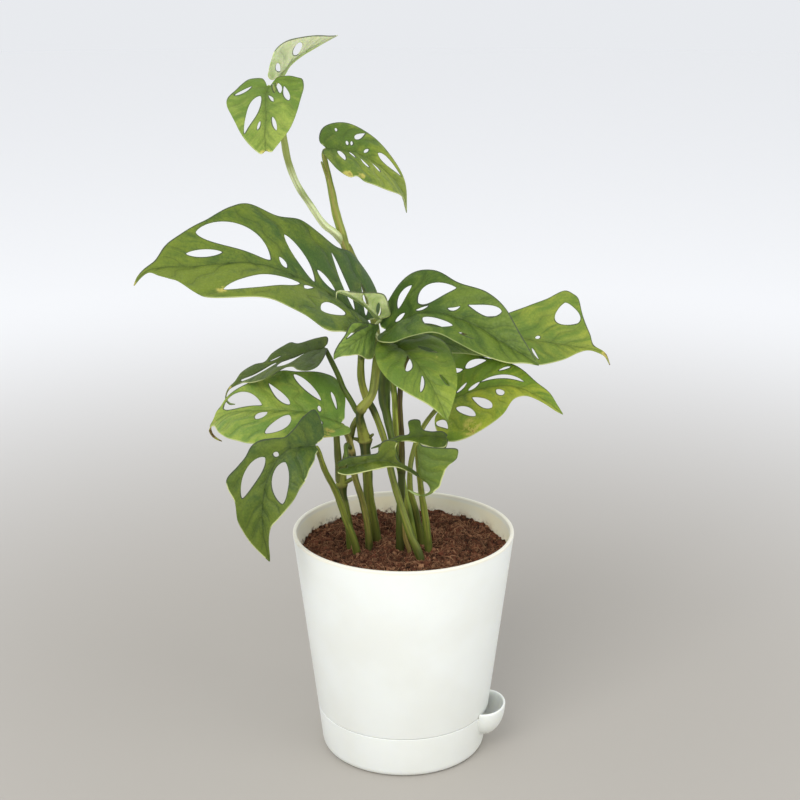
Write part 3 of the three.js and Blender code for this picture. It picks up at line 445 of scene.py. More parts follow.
around = np.linspace(0, 2 * np.pi, SOIL["sides"], endpoint=False)
inner_edge = wall_radius(SOIL["edgeZ"]) - POT["wall"] - 0.1
low_edge = wall_radius(SOIL["lowZ"]) - POT["wall"] - 0.6
reach = np.r_[14.5, low_edge, np.linspace(inner_edge, 0.7, SOIL["rows"])]
x, y = np.outer(reach, np.cos(around)), np.outer(reach, np.sin(around))
z = soil_height(x, y)
z[:2] = SOIL["lowZ"]
top, bottom = [0, 0, soil_height(0.0, 0.0)], [0, 0, SOIL["lowZ"]]
points, faces = closed_grid(np.stack([x, y, z], axis=-1), bottom, top)
coir = coir_finish()
mix_body = new_piece("mix_body", points * MM, faces, coir, tint=random.uniform(0, 0.12, len(points)))

golden = (1 + 5**0.5) / 2
ICO = np.array([(-1, golden, 0), (1, golden, 0), (-1, -golden, 0), (1, -golden, 0),
                (0, -1, golden), (0, 1, golden), (0, -1, -golden), (0, 1, -golden),
                (golden, 0, -1), (golden, 0, 1), (-golden, 0, -1), (-golden, 0, 1)]) / 1.9
ICO_FACES = np.array([(0, 11, 5), (0, 5, 1), (0, 1, 7), (0, 7, 10), (0, 10, 11), (1, 5, 9), (5, 11, 4),
                      (11, 10, 2), (10, 7, 6), (7, 1, 8), (3, 9, 4), (3, 4, 2), (3, 2, 6), (3, 6, 8),
                      (3, 8, 9), (4, 9, 5), (2, 4, 11), (6, 2, 10), (8, 6, 7), (9, 8, 1)])


def unit(vectors):
    """The same directions with a length of 1."""
    return vectors / np.linalg.norm(vectors, axis=-1, keepdims=True)


def spread(count, margin):
    """Random places on the mix, evenly over its area and `margin` mm from the wall."""
    radius = (inner_edge - margin) * np.sqrt(random.uniform(0, 1, count))
    angle = random.uniform(0, 2 * np.pi, count)
    return radius * np.cos(angle), radius * np.sin(angle)


x, y = spread(CRUMBS, CRUMB["margin"])
size = CRUMB["small"] + CRUMB["range"] * random.power(0.6, CRUMBS) ** 3
x[0], y[0], size[0] = CHIP
lumps = ICO[None] * random.uniform(0.65, 1.2, (CRUMBS, len(ICO), 1)) * size[:, None, None]
lumps = lumps * random.uniform(0.45, 1.25, (CRUMBS, 1, 3))
lumps = turned(lumps, random.uniform(0, TURN, (CRUMBS, 1)), random.uniform(0, TURN / 2, (CRUMBS, 1)))
lumps = lumps + np.stack([x, y, soil_height(x, y) + CRUMB["raised"] * size], axis=-1)[:, None]
faces = (ICO_FACES[None] + len(ICO) * np.arange(CRUMBS)[:, None, None]).reshape(-1, 3)
tint = random.power(0.5, CRUMBS) * 0.75
tint[0] = 1
crumbs = new_piece("mix_crumbs", lumps.reshape(-1, 3) * MM, faces, coir, tint=np.repeat(tint, len(ICO)))
crumbs.data.shade_flat()

# A fibre bends in an arc and sags or rises a little; its ring shrinks towards both ends.
x, y = spread(FIBRES, FIBRE["margin"])
length = (FIBRE["short"] + FIBRE["range"] * random.power(0.35, FIBRES))[:, None]
arc = random.uniform(-FIBRE["arc"], FIBRE["arc"], FIBRES)[:, None]
along = np.linspace(-0.5, 0.5, FIBRE["rings"])[None]
path = np.stack([length * np.sin(arc * along + TINY) / (arc + TINY),
                 length * (1 - np.cos(arc * along)) / (arc + TINY),
                 random.uniform(*FIBRE["rise"], (FIBRES, 1)) * (0.25 - along**2) * 2], axis=-1)
path = turned(path, random.uniform(0, TURN, (FIBRES, 1)),
              random.uniform(-FIBRE["tip"], FIBRE["tip"], (FIBRES, 1)))
path = path + np.stack([x, y, 0 * x], axis=-1)[:, None]
path[..., 2] += soil_height(path[..., 0], path[..., 1]) + FIBRE["above"]
thick = random.uniform(*FIBRE["radius"], (FIBRES, 1)) * (1 - (2 * along) ** 4 * 0.75)
tangent = unit(np.gradient(path, axis=1))
beside = unit(np.cross(tangent, [0.0, 0.0, 1.0]))
above = np.cross(beside, tangent)
ring = np.linspace(0, 2 * np.pi, FIBRE["sides"], endpoint=False)[None, None, :, None]
strands = path[:, :, None] + thick[..., None, None] * (
    beside[:, :, None] * np.cos(ring) - above[:, :, None] * np.sin(ring))
quads = grid_faces(FIBRE["rings"], FIBRE["sides"])
one_strand = FIBRE["rings"] * FIBRE["sides"]
start = one_strand * np.arange(FIBRES)[:, None, None]
ends = np.array([[0, 2, 1], [one_strand - 3, one_strand - 2, one_strand - 1]])
faces = (quads[None] + start).reshape(-1, 4).tolist() + (ends[None] + start).reshape(-1, 3).tolist()
tint = np.repeat(0.15 + random.power(0.7, FIBRES), one_strand)
fibres = new_piece("mix_fibres", strands.reshape(-1, 3) * MM, faces, coir, tint=tint)
for piece in (mix_body, crumbs, fibres):
    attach(piece, "root")
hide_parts("potting_mix")


# ---------- vines and petioles ----------
# Green stems that root in the mix, with ring scars and short stumps at their nodes. Each petiole
# is a thin stalk with a channel along it.

# A route is a list of [x, y, z, radius] in mm, and a rooted stem first rises straight up through
# the mix at `root`, its [x, y, radius]. A stub is [from, to, radius], and scars are heights.
ROOTED = (98, 124)  # a root's lower end and the top of the mix
STEMS = {
    "vine_main": dict(look="olive", root=[-16, 8, 3.3], scars=[192, 213],
        stubs=[[[-24, -3, 192], [-29, -5, 194], 1.3], [[-21, -4, 193], [-17, -6, 197], 1.1]],
        route=[[-20, 4, 153, 3], [-21, 0, 173, 2.9], [-22, -3, 187, 3], [-22, -3, 192, 4],
            [-23, -4, 196, 3.4], [-25, -8, 208, 2.3], [-24, -10, 213, 2.9], [-18, -10, 221, 2.4],
            [-16, -5, 232, 2.6], [-15, 2, 242, 2.5], [-16, 14, 253, 2.4], [-22, 24, 277, 2.3],
            [-30, 28, 294, 2.3], [-34, 28, 301, 3.1]]),
    "vine_top": dict(look="pale",
        route=[[-31, 29, 297, 2.2], [-35, 28, 302, 2.3], [-39, 26, 307, 2.3], [-45, 25, 312, 2.1],
            [-53, 24, 324, 1.9], [-60, 24, 335, 1.9], [-65, 24, 349, 2], [-67, 24, 360, 2],
            [-69, 23, 374, 1.9], [-71, 22, 386, 1.8]]),
    "vine_side": dict(look="olive", root=[-31, 2, 2.6], scars=[163],
        stubs=[[[-34, 0, 165], [-28, -4, 170], 1.4], [[-37.3, 1, 164], [-39.3, 3, 207], 2.3]],
        route=[[-33, 1, 145, 2.2], [-35, 1, 157, 2.1], [-36, 1, 164, 3.3], [-35.5, 1.3, 170, 2.4],
            [-34, 1, 178, 1.9], [-31, -1, 190, 1.8], [-28.8, -3.6, 201, 1.8], [-26, -6.5, 207, 1.7]]),
    "petiole_09": dict(look="dark", root=[-2, -4, 2.6], scars=[173],
        route=[[-2, -4, 143, 2.4], [-1, -3, 174, 2.1], [-1, -2, 192, 1.6], [-2, 0, 215, 1.5],
            [-1, 4, 229, 1.5], [3, 12, 238, 1.4], [16, 26, 242, 1.4], [30, 34, 244, 1.3],
            [39, 35, 246, 1.2]]),
    "petiole_04": dict(look="olive", root=[10, -20, 2.5], scars=[216],
        route=[[4, -18, 140, 2.3], [-2, -15, 158, 2.1], [-7, -12, 176, 2], [-11, -7, 194, 1.9],
            [-17, -1, 209, 2], [-21, 1, 216, 2.2], [-24, 1, 227, 2.2], [-24, 0, 242, 2],
            [-22, -2, 254, 1.9], [-21, -4, 260, 1.7], [-20, -5, 263, 1.5]]),
    "petiole_05": dict(look="vine", root=[6, 8, 2.5], scars=[229],
        route=[[3, 7, 145, 2.3], [-1, 8, 165, 2.1], [-4, 8, 189, 2], [-5, 3, 214, 1.8],
            [-7, -3, 234, 1.8], [-9, -7, 250, 1.7], [-10, -9, 256, 1.5], [-10, -10, 259, 1.3]]),
    "petiole_10": dict(look="olive", root=[11, 2, 2.3],
        route=[[7, -3, 149, 2], [4, -9, 164, 1.7], [4, -9, 179, 1.5], [7, -4, 190, 1.5],
            [12, 4, 199, 1.4], [19, 8, 207, 1.4], [25, 10, 211, 1.2]]),
    "petiole_13": dict(look="olive", root=[15, -10, 2.4],
        route=[[12, -14, 153, 2], [10, -20, 168, 1.8], [8, -32, 190, 1.5], [7, -37, 199, 1.3],
            [8, -40, 203, 1.1]]),
    "petiole_16": dict(look="straw", root=[-20, -4, 2.3], scars=[190],
        route=[[-21, -6, 141, 2], [-24, -9, 158, 1.9], [-28, -13, 174, 1.9], [-29, -16, 188, 2],
            [-31, -18, 198, 1.7], [-34, -20, 205, 1.5], [-35, -20, 208, 1.3]]),
    "petiole_17": dict(look="olive", root=[-27, -9, 2.4],
        route=[[-34, -14, 150, 2], [-39, -22, 169, 1.9], [-44, -34, 185, 1.7], [-47, -44, 200, 1.5],
            [-48, -46, 203, 1.2]]),
    "petiole_03": dict(look="tan",
        stubs=[[[-43, 28.5, 337], [-46.5, 27.5, 348], 0.8]],
        route=[[-32, 27, 295, 2.3], [-34, 28, 301, 2.7], [-36, 29, 309, 2.6], [-39, 29, 320, 2.4],
            [-41, 29, 331, 2.1], [-44, 30, 346, 1.6], [-45, 30, 352, 1.4], [-44, 30, 355, 1.2]]),
    "petiole_02": dict(look="vine",
        route=[[-71, 22, 384, 1.3], [-73, 19, 387, 1.3], [-74, 16, 390, 1.2], [-74, 14, 391, 1]]),
    "petiole_01": dict(look="pale",
        route=[[-71, 22, 386, 1.4], [-72, 26, 389, 1.3], [-71, 30, 392, 1.2], [-70, 32, 394, 1]]),
    "petiole_15": dict(look="shade",
        route=[[-24, -9, 210, 1.7], [-26, -9, 211, 1.7], [-29.5, -8.5, 217, 1.6], [-34, -6, 224, 1.6],
            [-38, 0, 232, 1.6], [-44, 5, 243, 1.4], [-45, 5, 245, 1.2]]),
    "petiole_08": dict(look="shade",
        route=[[-24, 0, 240, 1.4], [-23, -8, 247, 1.3], [-18, -17, 256, 1.2], [-14, -20, 264, 0.9]]),
    "petiole_06": dict(look="pale",
        route=[[-8, -5, 243, 1.3], [-11, -7, 250, 1.2], [-16, -6, 257, 1.1], [-15, -7, 262, 1],
            [-12, -8, 265, 0.9]]),
    "petiole_07": dict(look="vine",
        route=[[-6, -1, 229, 1.5], [-6, -8, 236, 1.4], [-7, -16, 246, 1.3], [-7, -20, 252, 1.2],
            [-6, -21, 255, 1]]),
    "petiole_11": dict(look="shade",
        route=[[-1, -3, 172, 1.6], [-3, -4, 177, 1.7], [-7, -4, 194, 1.9], [-10, 5, 207, 2.6],
            [-11, 9, 214, 3.6], [-11, 11, 224, 4.1], [-10, 13, 234, 3], [-6, 13, 243, 1.7],
            [-2, 12, 246, 1.3]]),
    "petiole_14": dict(look="shade",
        route=[[9, -23, 173, 1.5], [12, -22, 178, 1.5], [18, -22, 187, 1.4], [23, -24, 196, 1.3],
            [24, -26, 201, 1.1]]),
    "petiole_12": dict(look="shade",
        route=[[-30, -17, 192, 1.4], [-32, -26, 197, 1.3], [-32, -36, 196, 1.2],
            [-31, -41.3, 190.3, 1]]),
    "dry_stub": dict(look="dry", root=[4, -9, 1.4],
        route=[[1, -9, 134, 1.2], [0, -10, 145, 0.8]]),
}
# The colours of a stem's skin, of its light streaks, dark blotches and dry scars.
STEM_TONES = {
    "vine": ((128, 150, 48), (194, 206, 90), (72, 92, 28), (166, 156, 92)),
    "olive": ((85, 102, 33), (146, 150, 62), (48, 58, 20), (124, 116, 60)),
    "straw": ((84, 92, 30), (150, 144, 70), (48, 56, 18), (150, 132, 76)),
    "tan": ((112, 130, 42), (168, 172, 86), (76, 86, 28), (172, 140, 92)),
    "pale": ((190, 202, 138), (226, 232, 190), (122, 138, 66), (110, 104, 50)),
    "dark": ((64, 52, 20), (102, 96, 32), (34, 26, 12), (50, 36, 20)),
    "shade": ((66, 86, 27), (102, 120, 41), (40, 54, 18), (86, 84, 38)),
    "dry": ((140, 122, 62), (178, 162, 94), (84, 66, 32), (64, 50, 28)),
}
# Where a look changes along the plant: the heights in mm where it starts and ends, and the colour.
FADES = {"pale": (336, 354, (138, 148, 62)), "dark": (192, 166, (82, 94, 34))}
FINE = 24  # samples of a curve from one given point to the next
SCAR, NODE = 1.3, 5  # reach in mm of a ring scar, and of the paler and darker skin beside it
CHANNEL = {"depth": 0.16, "at": 1.2, "width": 0.55}  # a share of the radius, and angles in radians
TUBE = {"sides": 20, "spacing": 1.1, "swell": 0.1, "cap": 0.15, "tip": 0.25}
STUB = {"sides": 12, "spacing": 0.5, "depth": 0}


def smooth_path(points):
    """A centripetal Catmull-Rom curve through the points, and the length along it. From p1 to p2 it
    is the cubic with end tangents m1 = ((p1-p0)/a - (p2-p0)/(a+b) + (p2-p1)/b) b and its mirror
    image m2, where a, b and c are the square roots of the three distances."""
    points = np.asarray(points, float)
    p = np.vstack([2 * points[0] - points[1], points, 2 * points[-1] - points[-2]])
    root = np.linalg.norm(np.diff(p, axis=0), axis=1)[:, None] ** 0.5
    a, b, c = root[:-2], root[1:-1], root[2:]
    p0, p1, p2, p3 = p[:-3], p[1:-2], p[2:-1], p[3:]
    m1 = ((p1 - p0) / a - (p2 - p0) / (a + b) + (p2 - p1) / b) * b
    m2 = ((p2 - p1) / b - (p3 - p1) / (b + c) + (p3 - p2) / c) * b
    t = (np.arange(FINE) / FINE)[None, :, None]
    square, cube = 3 * (p2 - p1) - 2 * m1 - m2, 2 * (p1 - p2) + m1 + m2
    curve = p1[:, None] + m1[:, None] * t + square[:, None] * t**2 + cube[:, None] * t**3
    curve = np.vstack([curve.reshape(-1, points.shape[1]), points[-1:]])
    return curve, np.r_[0, np.cumsum(np.linalg.norm(np.diff(curve, axis=0), axis=1))]


def bell(distance, width):
    """1 at no distance, falling to 1/e at the width: exp(-(distance / width)^2)."""
    return np.exp(-((distance / width) ** 2))


def at_lengths(curve, length, wanted):
    """Points of a curve at given lengths along it."""
    return np.stack([np.interp(wanted, length, axis) for axis in curve.T], axis=-1)


def carried_frame(tangent):
    """Two directions across a path, turned as little as possible from station to station."""
    across = np.empty_like(tangent)
    side = np.cross(tangent[0], (0.3, 1.0, 0.1))
    for station, forward in enumerate(tangent):
        side = across[station] = unit(side - side.dot(forward) * forward)
    return across, np.cross(tangent, across)


def stem_tube(route, seed, scars=(), sides=TUBE["sides"], spacing=TUBE["spacing"], depth=CHANNEL["depth"]):
    """A ring about each station of the route. Its radius is r (1 - channel dip + slow waves), grows
    by a tenth at a ring scar, and closes like a dome at both ends. Each vertex also gets its scar
    value, and its node value, which is 1 just above a scar and -1 just below it."""
    route = np.array(route, float)
    curve, length = smooth_path(route[:, :3])
    rows = max(8, int(length[-1] / spacing))
    wanted = np.linspace(0, length[-1], rows)
    centre = at_lengths(curve, length, wanted)
    radius = np.interp(wanted, length[::FINE], route[:, 3])
    tangent = unit(np.gradient(centre, wanted, axis=0))
    across, beside = carried_frame(tangent)
    angle = np.linspace(0, 2 * np.pi, sides, endpoint=False)
    above = [centre[:, 2] - z for z in scars]
    scar = sum(bell(gap, SCAR) for gap in above) + 0 * wanted
    node = sum(gap / 4 * math.exp(0.5) * bell(gap, NODE) for gap in above) + 0 * wanted
    end = np.minimum(wanted, length[-1] - wanted) / radius.clip(0.3)
    dome = np.sqrt(1 - (1 - end.clip(0, 1)) ** 2).clip(TUBE["tip"])
    dip = depth * bell(angle - CHANNEL["at"], CHANNEL["width"]) * (1 - scar.clip(0, 1))[:, None]
    wave = 0.035 * np.sin(wanted[:, None] * 0.21 + angle[None] + seed) + 0.03 * np.sin(
        wanted[:, None] * 0.53 + 2 * angle[None] + 2 * seed)
    r = radius[:, None] * (1 - dip + wave) * (1 + TUBE["swell"] * scar[:, None]) * dome[:, None]
    rings = centre[:, None] + r[..., None] * (
        across[:, None] * np.cos(angle)[None, :, None] + beside[:, None] * np.sin(angle)[None, :, None])
    points, faces = closed_grid(rings, centre[0] - TUBE["cap"] * radius[0] * tangent[0],
                                centre[-1] + TUBE["cap"] * radius[-1] * tangent[-1])
    marks = np.vstack([np.repeat(np.stack([scar, node], axis=-1), sides, axis=0), [[0, 0], [0, 0]]])
    return points, faces, tube_map(rows, sides, wanted), marks


def tube_map(rows, sides, wanted):
    """Map coordinates for each face corner: turns about the stem, and metres along it."""
    row, column = np.arange(rows - 1)[:, None], np.arange(sides)[None]
    low, high = wanted[row] * MM + 0 * column, wanted[row + 1] * MM + 0 * column
    left, right = column / sides + 0 * row, (column + 1) / sides + 0 * row
    quads = np.stack([left, low, right, low, right, high, left, high], axis=-1).reshape(-1, 2)
    left, right = left[0], right[0]
    middle, start, finish = (left + right) / 2, 0 * left, 0 * left + wanted[-1] * MM
    fans = [np.stack([middle, end, first, end, second, end], axis=-1).reshape(-1, 2)
            for end, first, second in ((start, right, left), (finish, left, right))]
    return np.vstack([quads, *fans])


def stem_finish(look):
    """Smooth skin with fine streaks along it, a dry tan strip beside the channel and darker flecks.
    It is paler just above a ring scar, darker just below it, and browner at the foot. The pale top
    of the vine turns olive higher up, and the dark petiole turns olive lower down."""
    finish = Finish(f"stem_{look}")
    skin, light, dark, dry = (srgb(*colour) for colour in STEM_TONES[look])
    place = finish.place()
    turn_and_along = finish.add("UVMap", uv_map="flat")
    turn = finish.add("SeparateXYZ", {0: turn_and_along})
    streak = finish.noise(finish.scaled(turn_and_along, (9, 30, 1)), 1.0, 3, 0.6)
    cloud = finish.noise(place, 60, 2)
    fleck = finish.noise(finish.scaled(turn_and_along, (9, 420, 1)), 1.0, 2, 0.6)
    node, scar = finish.attribute("node"), finish.attribute("scar").rise(0.3, 1.0)
    tone = streak + 0.45 * node
    colour = finish.mix(tone.rise(0.3, 0.75), skin, light)
    colour = finish.mix((cloud - 0.5 * node).rise(0.45, 0.7) * 0.7, colour, dark)
    strip = abs(turn + 0.12 * (cloud - 0.5) - 0.28).rise(0.07, 0.03)
    colour = finish.mix(strip * 0.35, colour, dry)
    colour = finish.mix(fleck.rise(0.6, 0.72) * 0.45, colour, dark)
    height = finish.add("SeparateXYZ", {0: place}, output=2) / MM
    if look in FADES:
        start, full, other = FADES[look]
        colour = finish.mix(height.rise(start, full) * 0.85, colour, srgb(*other))
    foot = height.rise(150, 122) * (0.35 + 0.4 * streak)
    colour = finish.mix(foot, colour, dark)
    colour = finish.mix(scar * 0.5, colour, dry)
    rough = 0.42 + 0.15 * streak + 0.2 * scar
    bump = finish.bump(streak + 0.5 * fleck, 0.00025, 0.7)
    return finish.surface({"Base Color": colour, "Roughness": rough, "Normal": bump,
                           "Subsurface Weight": 0.1, "Subsurface Scale": 0.0015,
                           "Subsurface Radius": (0.6, 1.0, 0.2), "Specular IOR Level": 0.3})


def joined(parts):
    """Several tubes as one set of points, faces, map corners and marks."""
    starts = np.cumsum([0] + [len(points) for points, *_ in parts]).tolist()
    faces = [[corner + start for corner in face]
             for start, (_, own, *_) in zip(starts, parts) for face in own]
    points, _, corners, marks = zip(*parts)
    return np.vstack(points), faces, np.vstack(corners), np.vstack(marks)


def set_map(piece, corners):
    """Stores a map named `flat`, one (u, v) for each face corner."""
    layer = piece.data.uv_layers.new(name="flat")
    layer.data.foreach_set("uv", np.asarray(corners, np.float32).ravel())


stem_finishes = {look: stem_finish(look) for look in STEM_TONES}
for number, (name, stem) in enumerate(STEMS.items()):
    x, y, radius = stem.get("root", (0, 0, 0))
    upright = [[x, y, z, radius] for z in ROOTED if radius]
    tubes = [stem_tube(upright + stem["route"], number, stem.get("scars", ()))]
    for start, end, radius in stem.get("stubs", []):
        middle = np.add(start, end) / 2
        route = [[*start, radius], [*middle, radius * 0.9], [*end, radius * 0.6]]
        tubes.append(stem_tube(route, number, **STUB))
    points, faces, corners, marks = joined(tubes)
    piece = new_piece(f"{name}_grown", points * MM, faces, stem_finishes[stem["look"]],
                      scar=marks[:, 0], node=marks[:, 1])
    set_map(piece, corners)
    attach(piece, "root")
    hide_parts(name)


# ---------- leaf blades ----------
# Leathery living blades with natural slots between the side veins, each on its petiole. The two
# halves rise from a grooved midrib, a ridge underneath, and end in a thin margin and a drip tip.

